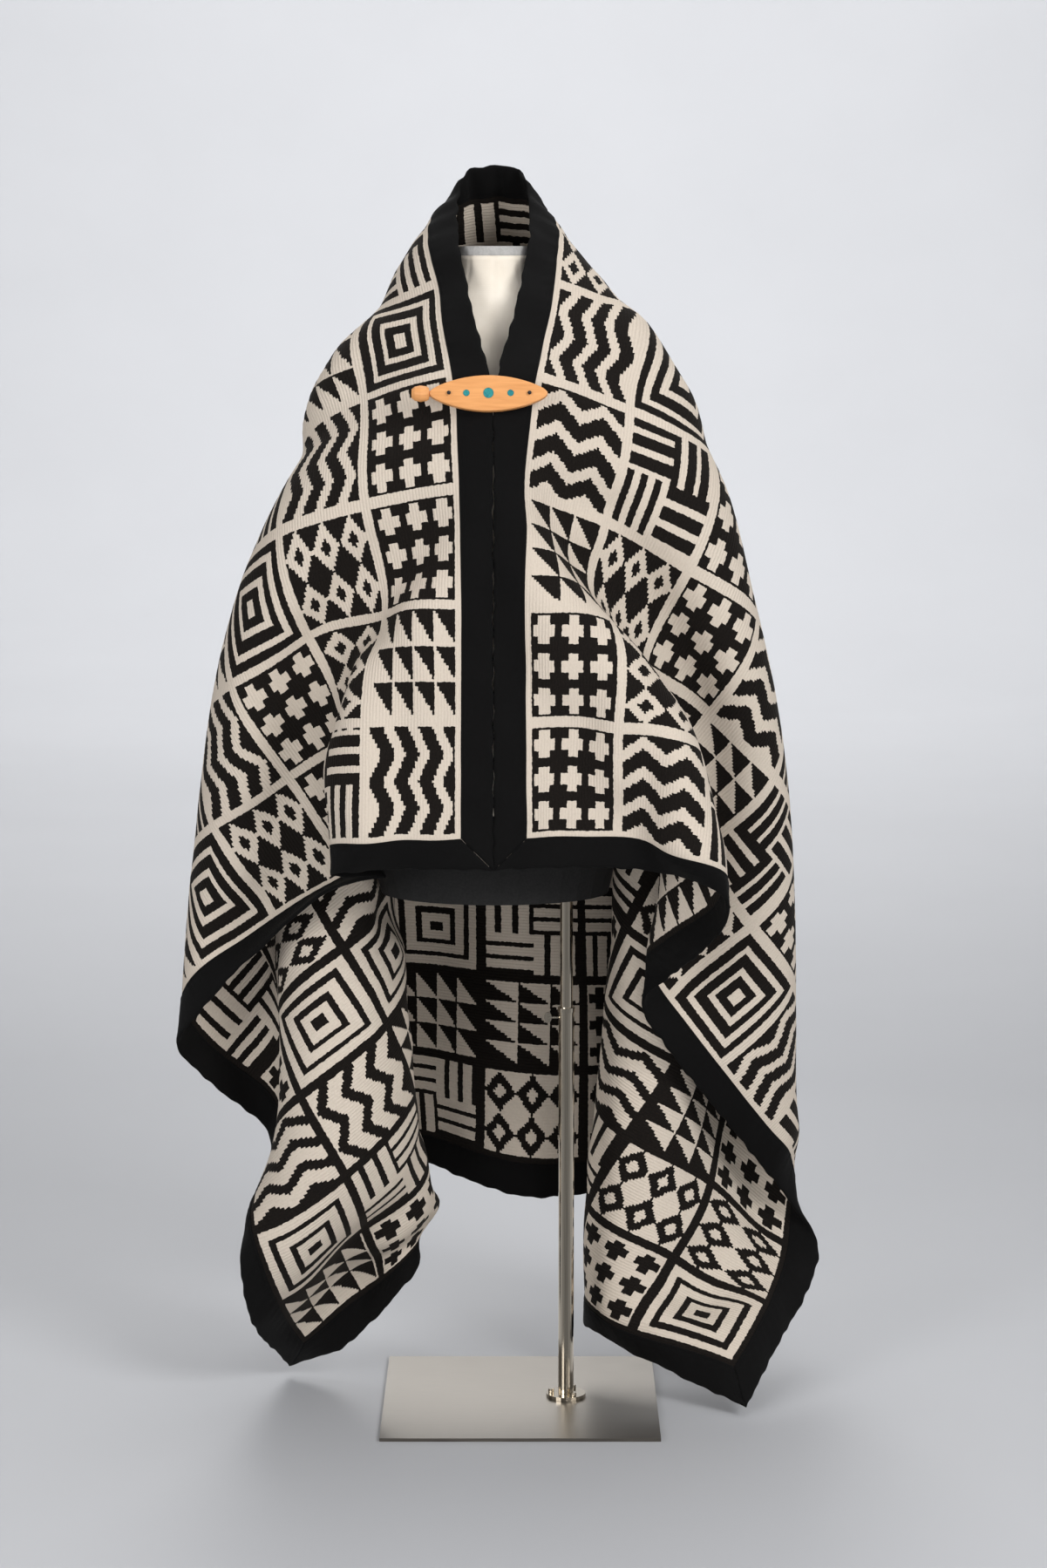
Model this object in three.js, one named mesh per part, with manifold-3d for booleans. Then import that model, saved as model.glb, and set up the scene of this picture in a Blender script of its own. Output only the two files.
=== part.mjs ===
// An honor blanket worn by a dress form on a steel stand: a wool panel, bound on its four edges
// and closed at the chest by a wooden pin. Millimetres, +Z up. The origin is under the middle of
// the stand's plate, and the wearer faces -Y. "left" and "right" are as seen from the front.

import * as THREE from "three";
import { mergeVertices } from "three/addons/utils/BufferGeometryUtils.js";
import Module from "manifold-3d";

// Wool panel and its binding
const CELL = 39; // one cell of the cloth's grid, and the width of the binding
const COLS = 52; // cells along the long edge, which goes round the neck
const ROWS = 36; // cells along the short edge
const WOOL_THICKNESS = 2.4;
const GAP = 0.3; // air between pieces that touch
const SEAM = 0.9; // air between the panel and its binding, along the cloth

// Dress form
const FORM_X = -34; // the form stands to one side of its pole
const FORM_SIDES = 32;
const FORM_STEP = 30; // height of one band of its surface
const FORM_BASE_TOP = 820;
const CAP_HEIGHT = 12;
const FORM_SECTIONS = [
  { z: 702, halfWidth: 152, halfDepth: 112, y: 0, air: 0 },
  { z: 820, halfWidth: 178, halfDepth: 124, y: 5, air: 0 },
  { z: 1000, halfWidth: 146, halfDepth: 104, y: 0, air: 60 },
  { z: 1210, halfWidth: 170, halfDepth: 124, y: -10, air: 80 },
  { z: 1340, halfWidth: 190, halfDepth: 108, y: -4, air: 54 },
  { z: 1405, halfWidth: 194, halfDepth: 88, y: 4, air: 26 },
  { z: 1450, halfWidth: 156, halfDepth: 76, y: 8, air: 12 },
  { z: 1485, halfWidth: 90, halfDepth: 66, y: 9, air: 4 },
  { z: 1512, halfWidth: 54, halfDepth: 56, y: 8, air: 0 },
  { z: 1555, halfWidth: 46, halfDepth: 50, y: 4, air: 0 },
];

// Stand
const PLATE_SIDE = 370;
const PLATE_THICKNESS = 4.5;
const POLE_X = 62;
const POLE_SIDES = 24;
const LOWER_TUBE = 21; // diameters
const UPPER_TUBE = 17;
const TUBE_JOINT_Z = 544;
const TUBE_INSERT = 120; // length of the upper tube inside the lower one
const RIM_HEIGHT = 6;
const RIM_WALL = 1.2;
const FLANGE_DIAMETER = 54;
const FLANGE_THICKNESS = 5;
const BOLT_CIRCLE = 20; // radius
const BOLT_HEAD = 8;
const BOLT_HEAD_HEIGHT = 5;
const BOLT_ANGLES = [180, 60, -60];
const BOLT_SIDES = 12;
const SCREW_Z = 530;
const SCREW_DIAMETER = 4;
const SCREW_LENGTH = 9;
const WING_WIDTH = 10;
const WING_HEIGHT = 14;
const WING_THICKNESS = 3;

// Wooden pin
const PIN_SPOT = [-40, -165, 1368]; // roughly the middle of its back
const PIN_APPROACH = 100; // the rays that seat it start this far ahead
const PIN_LEAN = THREE.MathUtils.degToRad(12); // its top leans back with the chest
const BAR_LENGTH = 150;
const BAR_HEIGHT = 46;
const BAR_THICKNESS = 13;
const BAR_TAPER = 0.3;
const BAR_EDGE = 2; // rounding of its rims
const BAR_POINTS = 48;
const PEG_DIAMETER = 8;
const PEG_DEPTH = 20;
const PEG_HEAD_DIAMETER = 21;
const PEG_HEAD_LENGTH = 22;
const INLAY_DEPTH = 1.5;
const INLAYS = [
  { place: "left", x: -28, diameter: 8 },
  { place: "middle", x: 0, diameter: 13 },
  { place: "right", x: 28, diameter: 8 },
];
const CORD_DIAMETER = 2.4;
const KNOT_DIAMETER = 5;
const CORDS = [
  { place: "left", x: -50 },
  { place: "right", x: 52 },
];
const SEAT_GAP = 0.5; // air under the pin and under the cloth where they rest
const SEAT_STEP = 2.5; // spacing of the rays that find the pin's seat
const SHOULDER_Z = 1330; // the cloth rests on the form above this height

// Finishes
const WOOL = new THREE.MeshStandardMaterial({ color: 0x3a3531, roughness: 0.95 });
const BINDING = new THREE.MeshStandardMaterial({ color: 0x121212, roughness: 0.9 });
const LINEN = new THREE.MeshStandardMaterial({ color: 0xe6ddcf, roughness: 0.9 });
const JERSEY = new THREE.MeshStandardMaterial({ color: 0x0d0c0c, roughness: 0.85 });
const CAP = new THREE.MeshStandardMaterial({ color: 0x9a9c9e, roughness: 0.5 });
const STEEL = new THREE.MeshStandardMaterial({ color: 0xa8a49b, roughness: 0.3, metalness: 1 });
const CEDAR = new THREE.MeshStandardMaterial({ color: 0xe8b07a, roughness: 0.55 });
const SHELL = new THREE.MeshStandardMaterial({ color: 0x1f6f86, roughness: 0.15 });
const CORD = new THREE.MeshStandardMaterial({ color: 0x2a1c14, roughness: 0.8 });

// The panel and its binding on the grid; "out" is the way from a strip's seam to its edge
const UP = { col: 0, row: -1 };
const DOWN = { col: 0, row: 1 };
const LEFT = { col: -1, row: 0 };
const RIGHT = { col: 1, row: 0 };
const BOUND_SHEETS = [
  { name: "blanket", cols: [1, COLS - 1], rows: [1, ROWS - 1], out: null, finish: WOOL },
  { name: "binding_neck", cols: [0, COLS], rows: [0, 1], out: UP, finish: BINDING },
  { name: "binding_hem", cols: [0, COLS], rows: [ROWS - 1, ROWS], out: DOWN, finish: BINDING },
  { name: "binding_left", cols: [0, 1], rows: [1, ROWS - 1], out: LEFT, finish: BINDING },
  { name: "binding_right", cols: [COLS - 1, COLS], rows: [1, ROWS - 1], out: RIGHT, finish: BINDING },
];

// The routes of the four bound edges, a row for each bend
const NECK_ROUTE = [
  { place: "nape", out: 0, y: 88, z: 1662 },
  { place: "collar", out: 24, y: 82, z: 1660 },
  { place: "collar turn", out: 40, y: 62, z: 1642 },
  { place: "collar side", out: 47, y: 28, z: 1611 },
  { place: "throat side", out: 43, y: -38, z: 1548 },
  { place: "lapel", out: 26, y: -108, z: 1462 },
  { place: "pin", out: 6, y: -160, z: 1380 },
  { place: "chest", out: 3.5, y: -186, z: 1218 },
  { place: "waist", out: 3, y: -200, z: 1060 },
  { place: "lap", out: 3, y: -212, z: 910 },
  { place: "front corner", out: 3, y: -222, z: 772 },
];
const LEFT_ROUTE = [
  { place: "front corner", x: FORM_X - 3, y: -222, z: 772 },
  { place: "front hem", x: -140, y: -217, z: 772 },
  { place: "before the pleat", x: -228, y: -212, z: 767 },
  { place: "pleat edge", x: -250, y: -196, z: 760 },
  { place: "pleat return", x: -226, y: -178, z: 756 },
  { place: "pleat valley", x: -160, y: -162, z: 752 },
  { place: "out of the pleat", x: -230, y: -130, z: 738 },
  { place: "side hem", x: -318, y: -80, z: 667 },
  { place: "before the elbow", x: -433, y: -25, z: 543 },
  { place: "elbow", x: -460, y: 5, z: 498 },
  { place: "behind the elbow", x: -426, y: 45, z: 440 },
  { place: "before the hollow", x: -355, y: 80, z: 372 },
  { place: "hollow", x: -338, y: 85, z: 340 },
  { place: "out of the hollow", x: -352, y: 45, z: 287 },
  { place: "bulge", x: -374, y: -45, z: 213 },
  { place: "under the bulge", x: -362, y: -10, z: 117 },
  { place: "tip", x: -321, y: 110, z: 20 },
];
const RIGHT_ROUTE = [
  { place: "front corner", x: FORM_X + 3, y: -222, z: 772 },
  { place: "front hem", x: 71, y: -205, z: 773 },
  { place: "front valley", x: 166, y: -190, z: 766 },
  { place: "before the pleat", x: 232, y: -212, z: 752 },
  { place: "pleat edge", x: 266, y: -215, z: 728 },
  { place: "pleat return", x: 250, y: -160, z: 670 },
  { place: "before the valley", x: 189, y: -45, z: 592 },
  { place: "pleat valley", x: 163, y: -20, z: 556 },
  { place: "after the valley", x: 196, y: 5, z: 496 },
  { place: "side hem", x: 290, y: 65, z: 367 },
  { place: "before the elbow", x: 393, y: 148, z: 219 },
  { place: "elbow", x: 414, y: 152, z: 176 },
  { place: "under the elbow", x: 394, y: 98, z: 126 },
  { place: "above the tip", x: 348, y: 10, z: 76 },
  { place: "tip", x: 302, y: -80, z: 20 },
];
const BOTTOM_ROUTE = [
  { place: "left tip", x: -321, y: 110, z: 20 },
  { place: "left inside hem", x: -254, y: 85, z: 48 },
  { place: "left inside rise", x: -190, y: 42, z: 117 },
  { place: "before the left fold", x: -155, y: 28, z: 160 },
  { place: "left fold", x: -138, y: 62, z: 182 },
  { place: "after the left fold", x: -162, y: 108, z: 203 },
  { place: "left hidden run", x: -250, y: 165, z: 225 },
  { place: "before the left turn", x: -325, y: 195, z: 240 },
  { place: "left turn", x: -358, y: 235, z: 250 },
  { place: "after the left turn", x: -325, y: 280, z: 262 },
  { place: "left back", x: -242, y: 295, z: 270 },
  { place: "left back bulge", x: -146, y: 280, z: 272 },
  { place: "back valley", x: -86, y: 235, z: 258 },
  { place: "back middle", x: 4, y: 208, z: 236 },
  { place: "right back", x: 114, y: 222, z: 238 },
  { place: "right back bulge", x: 245, y: 295, z: 232 },
  { place: "before the right turn", x: 312, y: 300, z: 222 },
  { place: "right turn", x: 340, y: 265, z: 205 },
  { place: "after the right turn", x: 308, y: 228, z: 188 },
  { place: "right hidden run", x: 219, y: 195, z: 150 },
  { place: "before the right fold", x: 122, y: 165, z: 108 },
  { place: "right fold", x: 91, y: 125, z: 76 },
  { place: "after the right fold", x: 102, y: 80, z: 77 },
  { place: "right inside hem", x: 159, y: 20, z: 61 },
  { place: "before the right tip", x: 240, y: -40, z: 38 },
  { place: "right tip", x: 302, y: -80, z: 20 },
];

// Threads of the front panels that hang straight near the hem
const FRONT_THREADS = [
  { place: "left lapel", side: -1, row: 1, cells: 14, hem: [-76, -222, 772], top: [-76, -180, 1300] },
  { place: "right lapel", side: 1, row: 1, cells: 14, hem: [8, -222, 772], top: [8, -180, 1300] },
  { place: "left panel", side: -1, row: 3, cells: 9, hem: [-155, -217, 772], top: [-155, -188, 1120] },
  { place: "left fold", side: -1, row: 5, cells: 7, hem: [-236, -206, 764], top: [-240, -180, 1034] },
  { place: "left valley", side: -1, row: 8, cells: 5, hem: [-160, -164, 753], top: [-215, -150, 935] },
  { place: "right panel", side: 1, row: 3, cells: 9, hem: [85, -205, 772], top: [85, -186, 1120] },
  { place: "right valley", side: 1, row: 5, cells: 7, hem: [162, -190, 767], top: [158, -176, 1035] },
  { place: "right fold", side: 1, row: 8, cells: 7, hem: [262, -228, 728], top: [228, -190, 990] },
];

// Crossings of the grid that are held: the folds inside, and the cloth that the pin keeps flat
const HELD_POINTS = [
  { place: "left, high", col: 13, row: 25, x: -158, y: 95, z: 630 },
  { place: "left, middle", col: 11, row: 28, x: -150, y: 70, z: 491 },
  { place: "left, low", col: 9, row: 33, x: -142, y: 75, z: 285 },
  { place: "right, high", col: 37, row: 23, x: 142, y: 145, z: 693 },
  { place: "right, middle", col: 39, row: 27, x: 128, y: 150, z: 515 },
  { place: "right, low", col: 42, row: 32, x: 104, y: 116, z: 293 },
  { place: "left of the pin", col: 16, row: 2, x: -118, y: -156, z: 1372 },
  { place: "right of the pin", col: 36, row: 2, x: 50, y: -156, z: 1372 },
];

// The outline of the hanging cloth, seen from the front
const OUTLINE = [
  { z: 0, left: -365, right: 391 },
  { z: 184, left: -388, right: 402 },
  { z: 329, left: -404, right: 394 },
  { z: 426, left: -450, right: 382 },
  { z: 546, left: -452, right: 372 },
  { z: 655, left: -433, right: 363 },
  { z: 814, left: -408, right: 347 },
  { z: 1031, left: -376, right: 319 },
  { z: 1211, left: -335, right: 289 },
  { z: 1400, left: -255, right: 206 },
  { z: 1700, left: -90, right: 30 },
];
const OUTLINE_Y = 60;
const OUTLINE_HALF_DEPTH = 420;
const OUTLINE_PULL = 0.2;

// How the cloth settles from a cone to its routes
const CONE_ANGLE = Math.PI / 6;
const CONE_LEAD = 90; // from the cone's apex to the neck edge
const CONE_Y = 10;
const STEPS = 900;
const RAMP_STEPS = 300; // steps over which the edges take their routes
const PASSES = 10;
const SLOWING = 0.92;
const FALL = 0.12; // per step
const THREAD_PULL = 0.15;
const BIAS_STIFFNESS = 0.15;
const FOLD_STIFFNESS = 0.15;
const WIDE_FOLD_STIFFNESS = 0.06;
const FORM_CLEARANCE = 6;
const FORM_GRIP = 0.5;
const FORM_SKIRT = 60; // the cloth is kept clear this far below the form too
const LAYER_SPACING = 37;
const NEAR_CELLS = 3; // cells this close in the cloth aren't pushed apart
const FLOOR_CLEARANCE = 8;
const SOFTENING = 0.4;
const SOFTENING_PASSES = 40;
const LEAST_FIT = 0.8; // share of its thickness that a fold has to keep
const STEADY = 0.02; // keeps flat cloth solvable
const MITRE_LIMIT = 2.5; // longest step outwards at a sharp fold

const LONG = COLS * CELL;
const POINTS = (COLS + 1) * (ROWS + 1);
const at = (col, row) => row * (COLS + 1) + col;
const lerp = THREE.MathUtils.lerp;

// The form's elliptical section at a height, or null above and below it
function formSection(z) {
  if (z < FORM_SECTIONS[0].z || z > FORM_SECTIONS.at(-1).z) {
    return null;
  }
  const upper = FORM_SECTIONS.findIndex((section, n) => n > 0 && section.z >= z);
  const low = FORM_SECTIONS[upper - 1];
  const high = FORM_SECTIONS[upper];
  const share = (z - low.z) / (high.z - low.z);
  return {
    halfWidth: lerp(low.halfWidth, high.halfWidth, share),
    halfDepth: lerp(low.halfDepth, high.halfDepth, share),
    y: lerp(low.y, high.y, share),
    air: lerp(low.air, high.air, share),
  };
}

// How far outside the form's clearance a point lies, as a share of the section
function outsideForm(x, y, z) {
  const bottom = FORM_SECTIONS[0].z;
  const section = formSection(z > bottom - FORM_SKIRT ? Math.max(z, bottom) : z);
  if (!section) {
    return 1;
  }
  const across = (x - FORM_X) / (section.halfWidth + section.air + FORM_CLEARANCE);
  const along = (y - section.y) / (section.halfDepth + FORM_CLEARANCE);
  return Math.hypot(across, along) - 1;
}

// The cloth laid round a cone: its middle at the back, its long edge open down the front
function coneStart() {
  const place = new Float64Array(POINTS * 3);
  const apex = NECK_ROUTE[0].z + CONE_LEAD * Math.cos(CONE_ANGLE);
  for (let row = 0; row <= ROWS; row++) {
    for (let col = 0; col <= COLS; col++) {
      const across = col * CELL - LONG / 2;
      const down = row * CELL + CONE_LEAD;
      const slant = Math.hypot(across, down);
      const turn = 2 * Math.atan2(down, Math.abs(across));
      const radius = slant * Math.sin(CONE_ANGLE);
      const side = across < 0 ? -1 : 1;
      place[3 * at(col, row)] = FORM_X + side * radius * Math.sin(turn);
      place[3 * at(col, row) + 1] = CONE_Y - radius * Math.cos(turn);
      place[3 * at(col, row) + 2] = apex - slant * Math.cos(CONE_ANGLE);
    }
  }
  return place;
}

// Threads and bias hold their length, folds only push back when they are pressed
function clothLinks() {
  const kinds = [
    { cols: 1, rows: 0, stiffness: 1, folds: false },
    { cols: 0, rows: 1, stiffness: 1, folds: false },
    { cols: 1, rows: 1, stiffness: BIAS_STIFFNESS, folds: false },
    { cols: -1, rows: 1, stiffness: BIAS_STIFFNESS, folds: false },
    { cols: 2, rows: 0, stiffness: FOLD_STIFFNESS, folds: true },
    { cols: 0, rows: 2, stiffness: FOLD_STIFFNESS, folds: true },
    { cols: 2, rows: 2, stiffness: FOLD_STIFFNESS / 2, folds: true },
    { cols: -2, rows: 2, stiffness: FOLD_STIFFNESS / 2, folds: true },
    { cols: 4, rows: 0, stiffness: WIDE_FOLD_STIFFNESS, folds: true },
    { cols: 0, rows: 4, stiffness: WIDE_FOLD_STIFFNESS, folds: true },
  ];
  const links = [];
  for (const kind of kinds) {
    for (let row = 0; row + kind.rows <= ROWS; row++) {
      for (let col = 0; col <= COLS; col++) {
        const far = col + kind.cols;
        if (far < 0 || far > COLS) {
          continue;
        }
        links.push({
          a: 3 * at(col, row),
          b: 3 * at(far, row + kind.rows),
          length: CELL * Math.hypot(kind.cols, kind.rows),
          stiffness: kind.stiffness,
          folds: kind.folds,
        });
      }
    }
  }
  return links;
}

function solveLinks(place, links) {
  for (const { a, b, length, stiffness, folds } of links) {
    const x = place[b] - place[a];
    const y = place[b + 1] - place[a + 1];
    const z = place[b + 2] - place[a + 2];
    const distance = Math.sqrt(x * x + y * y + z * z);
    if (folds && distance > length) {
      continue;
    }
    const move = (0.5 * stiffness * (distance - length)) / distance;
    place[a] += x * move;
    place[a + 1] += y * move;
    place[a + 2] += z * move;
    place[b] -= x * move;
    place[b + 1] -= y * move;
    place[b + 2] -= z * move;
  }
}

// Where each point of the four edges belongs, spaced evenly along its route
function edgePlaces() {
  const places = [];
  const points = (route) => route.map((bend) => new THREE.Vector3(bend.x, bend.y, bend.z));
  const follow = (bends, count, indexOf) => {
    const curve = new THREE.CatmullRomCurve3(bends, false, "centripetal");
    curve.arcLengthDivisions = 20 * count;
    curve.getSpacedPoints(count).forEach((target, step) => {
      places.push({ k: 3 * indexOf(step), target, hold: 1 });
    });
  };
  const neckSide = (side) => NECK_ROUTE.map((bend) => ({ ...bend, x: FORM_X + side * bend.out }));
  const neck = [...neckSide(-1).reverse(), ...neckSide(1).slice(1)];
  follow(points(neck), COLS, (step) => at(step, 0));
  follow(points(LEFT_ROUTE), ROWS, (step) => at(0, step));
  follow(points(RIGHT_ROUTE), ROWS, (step) => at(COLS, step));
  follow(points(BOTTOM_ROUTE), COLS, (step) => at(step, ROWS));
  for (const { side, row, cells, hem, top } of FRONT_THREADS) {
    for (let step = 1; step <= cells; step++) {
      const target = new THREE.Vector3(...hem).lerp(new THREE.Vector3(...top), step / cells);
      const hold = THREAD_PULL * (1 - step / (cells + 1));
      places.push({ k: 3 * at(side < 0 ? step : COLS - step, row), target, hold });
    }
  }
  for (const { col, row, x, y, z } of HELD_POINTS) {
    places.push({ k: 3 * at(col, row), target: new THREE.Vector3(x, y, z), hold: THREAD_PULL });
  }
  return places;
}

function pullEdges(place, edges, share) {
  for (const { k, target, hold } of edges) {
    const pull = share * hold;
    place[k] = lerp(place[k], target.x, pull);
    place[k + 1] = lerp(place[k + 1], target.y, pull);
    place[k + 2] = lerp(place[k + 2], target.z, pull);
  }
}

// Moves points out of the form and off the floor; the form's grip stops them sliding
function clearForm(place, before) {
  for (let k = 0; k < place.length; k += 3) {
    place[k + 2] = Math.max(place[k + 2], FLOOR_CLEARANCE);
    const [x, y, z] = place.subarray(k, k + 3);
    const inside = outsideForm(x, y, z);
    if (inside >= 0) {
      continue;
    }
    const slope = new THREE.Vector3(
      outsideForm(x + 1, y, z) - inside,
      outsideForm(x, y + 1, z) - inside,
      (outsideForm(x, y, z + 1) - outsideForm(x, y, z - 1)) / 2,
    );
    slope.multiplyScalar(-inside / slope.lengthSq()).clampLength(0, CELL / 2);
    slope.toArray().forEach((move, axis) => {
      place[k + axis] += move;
      before[k + axis] = lerp(before[k + axis], place[k + axis], FORM_GRIP);
    });
  }
}

// Draws in what stands outside the outline, which is rounded in plan
function holdOutline(place) {
  for (let k = 0; k < place.length; k += 3) {
    const upper = Math.max(1, OUTLINE.findIndex((row) => row.z >= place[k + 2]));
    const low = OUTLINE[upper - 1];
    const high = OUTLINE[upper];
    const share = (place[k + 2] - low.z) / (high.z - low.z);
    const depth = (place[k + 1] - OUTLINE_Y) / OUTLINE_HALF_DEPTH;
    const round = Math.sqrt(Math.max(0.2, 1 - depth * depth));
    const left = FORM_X + (lerp(low.left, high.left, share) - FORM_X) * round;
    const right = FORM_X + (lerp(low.right, high.right, share) - FORM_X) * round;
    const inside = Math.min(right, Math.max(left, place[k]));
    place[k] = lerp(place[k], inside, OUTLINE_PULL);
  }
}

// Pushes layers of the cloth apart where they come too close
function partLayers(place) {
  const boxes = new Map();
  const boxOf = (value) => Math.floor(value / LAYER_SPACING);
  const key = (x, y, z) => (x * 1024 + y) * 1024 + z;
  for (let n = 0; n < POINTS; n++) {
    const box = key(boxOf(place[3 * n]), boxOf(place[3 * n + 1]), boxOf(place[3 * n + 2]));
    if (!boxes.has(box)) {
      boxes.set(box, []);
    }
    boxes.get(box).push(n);
  }
  const offsets = [-1, 0, 1];
  for (let n = 0; n < POINTS; n++) {
    const x = boxOf(place[3 * n]);
    const y = boxOf(place[3 * n + 1]);
    const z = boxOf(place[3 * n + 2]);
    for (const dx of offsets) {
      for (const dy of offsets) {
        for (const dz of offsets) {
          for (const m of boxes.get(key(x + dx, y + dy, z + dz)) ?? []) {
            if (m > n && !neighbours(n, m)) {
              partPair(place, 3 * n, 3 * m);
            }
          }
        }
      }
    }
  }
}

// Points that lie close in the cloth itself, or that meet down the front
function neighbours(n, m) {
  const cols = Math.abs((n % (COLS + 1)) - (m % (COLS + 1)));
  const rows = Math.abs(Math.floor(n / (COLS + 1)) - Math.floor(m / (COLS + 1)));
  const both = Math.max(n, m) < NEAR_CELLS * (COLS + 1);
  return both || (cols < NEAR_CELLS && rows < NEAR_CELLS);
}

function partPair(place, a, b) {
  const x = place[b] - place[a];
  const y = place[b + 1] - place[a + 1];
  const z = place[b + 2] - place[a + 2];
  const distance = Math.sqrt(x * x + y * y + z * z);
  if (distance >= LAYER_SPACING) {
    return;
  }
  const move = (0.25 * (LAYER_SPACING - distance)) / distance;
  place[a] -= x * move;
  place[a + 1] -= y * move;
  place[a + 2] -= z * move;
  place[b] += x * move;
  place[b + 1] += y * move;
  place[b + 2] += z * move;
}

// The settled cloth, as one point for each crossing of the grid
function drape() {
  const place = coneStart();
  const before = place.slice();
  const links = clothLinks();
  const edges = edgePlaces();
  for (let step = 0; step < STEPS; step++) {
    for (let k = 0; k < place.length; k++) {
      const speed = (place[k] - before[k]) * SLOWING;
      before[k] = place[k];
      place[k] += speed - (k % 3 === 2 ? FALL : 0);
    }
    const share = Math.min(1, step / RAMP_STEPS) ** 2;
    for (let pass = 0; pass < PASSES; pass++) {
      pullEdges(place, edges, share);
      solveLinks(place, links);
    }
    holdOutline(place);
    clearForm(place, before);
    partLayers(place);
  }
  pullEdges(place, edges, 1);
  const cloth = Array.from({ length: POINTS }, (_, n) => new THREE.Vector3().fromArray(place, 3 * n));
  for (let pass = 0; pass < SOFTENING_PASSES; pass++) {
    soften(cloth);
  }
  return cloth;
}

// Rounds the folds that are too sharp for a thick cloth: points at them and next to them move
// towards the middle of their neighbours, along the edge for those on an edge
function soften(cloth) {
  const normals = clothNormals(cloth);
  const fit = new Array(POINTS).fill(1);
  for (let row = 0; row < ROWS; row++) {
    for (let col = 0; col < COLS; col++) {
      for (const face of cellFaces(col, row)) {
        const normal = faceNormal(cloth, face);
        face.forEach((n) => {
          fit[n] = Math.min(fit[n], normal.dot(normals[n]));
        });
      }
    }
  }
  const old = cloth.map((point) => point.clone());
  cloth.forEach((point, n) => {
    const col = n % (COLS + 1);
    const row = Math.floor(n / (COLS + 1));
    const near = [];
    if (row > 0 && row < ROWS) {
      near.push(n - COLS - 1, n + COLS + 1);
    }
    if (col > 0 && col < COLS) {
      near.push(n - 1, n + 1);
    }
    if (near.length > 0 && Math.min(fit[n], ...near.map((m) => fit[m])) < LEAST_FIT) {
      const middle = new THREE.Vector3();
      near.forEach((m) => middle.addScaledVector(old[m], 1 / near.length));
      point.lerp(middle, SOFTENING);
    }
  });
}

// A mesh from points and triangles, turned so that its faces look out
function closedMesh(name, points, triangles, material) {
  let volume = 0;
  for (const [a, b, c] of triangles) {
    volume += points[a].dot(points[b].clone().cross(points[c]));
  }
  const outward = volume > 0 ? triangles : triangles.map(([a, b, c]) => [a, c, b]);
  const geometry = new THREE.BufferGeometry().setFromPoints(points);
  geometry.setIndex(outward.flat());
  geometry.computeVertexNormals();
  return named(name, geometry, material);
}

function named(name, geometry, material) {
  const mesh = new THREE.Mesh(geometry, material);
  mesh.name = name;
  return mesh;
}

// The two triangles of a cell
function cellFaces(col, row) {
  const [a, b] = [at(col, row), at(col + 1, row)];
  const [c, d] = [at(col, row + 1), at(col + 1, row + 1)];
  return [[a, b, c], [b, d, c]];
}

function faceNormal(cloth, face) {
  return new THREE.Triangle(...face.map((n) => cloth[n])).getNormal(new THREE.Vector3());
}

// The way out of the cloth at each crossing, long enough that a step of one along it
// leaves every face round the crossing by one; it looks away from the wearer
function clothNormals(cloth) {
  const sums = cloth.map(() => ({ squares: new Array(9).fill(0), total: new THREE.Vector3() }));
  for (let row = 0; row < ROWS; row++) {
    for (let col = 0; col < COLS; col++) {
      for (const face of cellFaces(col, row)) {
        const normal = faceNormal(cloth, face);
        const axes = normal.toArray();
        for (const n of face) {
          sums[n].total.add(normal);
          sums[n].squares.forEach((_, k) => {
            sums[n].squares[k] += axes[Math.floor(k / 3)] * axes[k % 3];
          });
        }
      }
    }
  }
  return sums.map(({ squares, total }) => {
    const matrix = new THREE.Matrix3().set(...squares.map((sum, k) => sum + (k % 4 === 0 ? STEADY : 0)));
    return total.applyMatrix3(matrix.invert()).clampLength(0, MITRE_LIMIT);
  });
}

// A solid sheet over a table of crossings, rows of cols, from two points for each crossing
function sheet(name, table, outer, inner, material) {
  const points = [...table.flat().map(outer), ...table.flat().map(inner)];
  const cols = table[0].length;
  const count = cols * table.length;
  const triangles = [];
  const rim = [];
  for (let row = 0; row + 1 < table.length; row++) {
    rim.push([row * cols, (row + 1) * cols], [(row + 2) * cols - 1, (row + 1) * cols - 1]);
    for (let col = 0; col + 1 < cols; col++) {
      const a = row * cols + col;
      for (const [i, j, k] of [[a, a + 1, a + cols], [a + 1, a + cols + 1, a + cols]]) {
        triangles.push([i, j, k], [i + count, k + count, j + count]);
      }
    }
  }
  for (let col = 0; col + 1 < cols; col++) {
    rim.push([col + 1, col], [count - cols + col, count - cols + col + 1]);
  }
  for (const [a, b] of rim) {
    triangles.push([a, b, a + count], [b, b + count, a + count]);
  }
  return closedMesh(name, points, triangles, material);
}

// The way across a seam: along the cloth, square to the seam, towards the strip's edge. It is
// longer at a sharp fold, where the cloth is thick on the bias.
function seamStep(cloth, normals, { col, row }, out) {
  const n = at(col, row);
  const alongCols = Math.abs(out.row);
  const alongRows = Math.abs(out.col);
  const ahead = cloth[at(Math.min(col + alongCols, COLS), Math.min(row + alongRows, ROWS))];
  const behind = cloth[at(Math.max(col - alongCols, 0), Math.max(row - alongRows, 0))];
  const step = ahead.clone().sub(behind).cross(normals[n]).setLength(SEAM * normals[n].lengthSq());
  const edge = cloth[at(col + out.col, row + out.row)];
  return step.dot(edge.clone().sub(cloth[n])) < 0 ? step.negate() : step;
}

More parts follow.
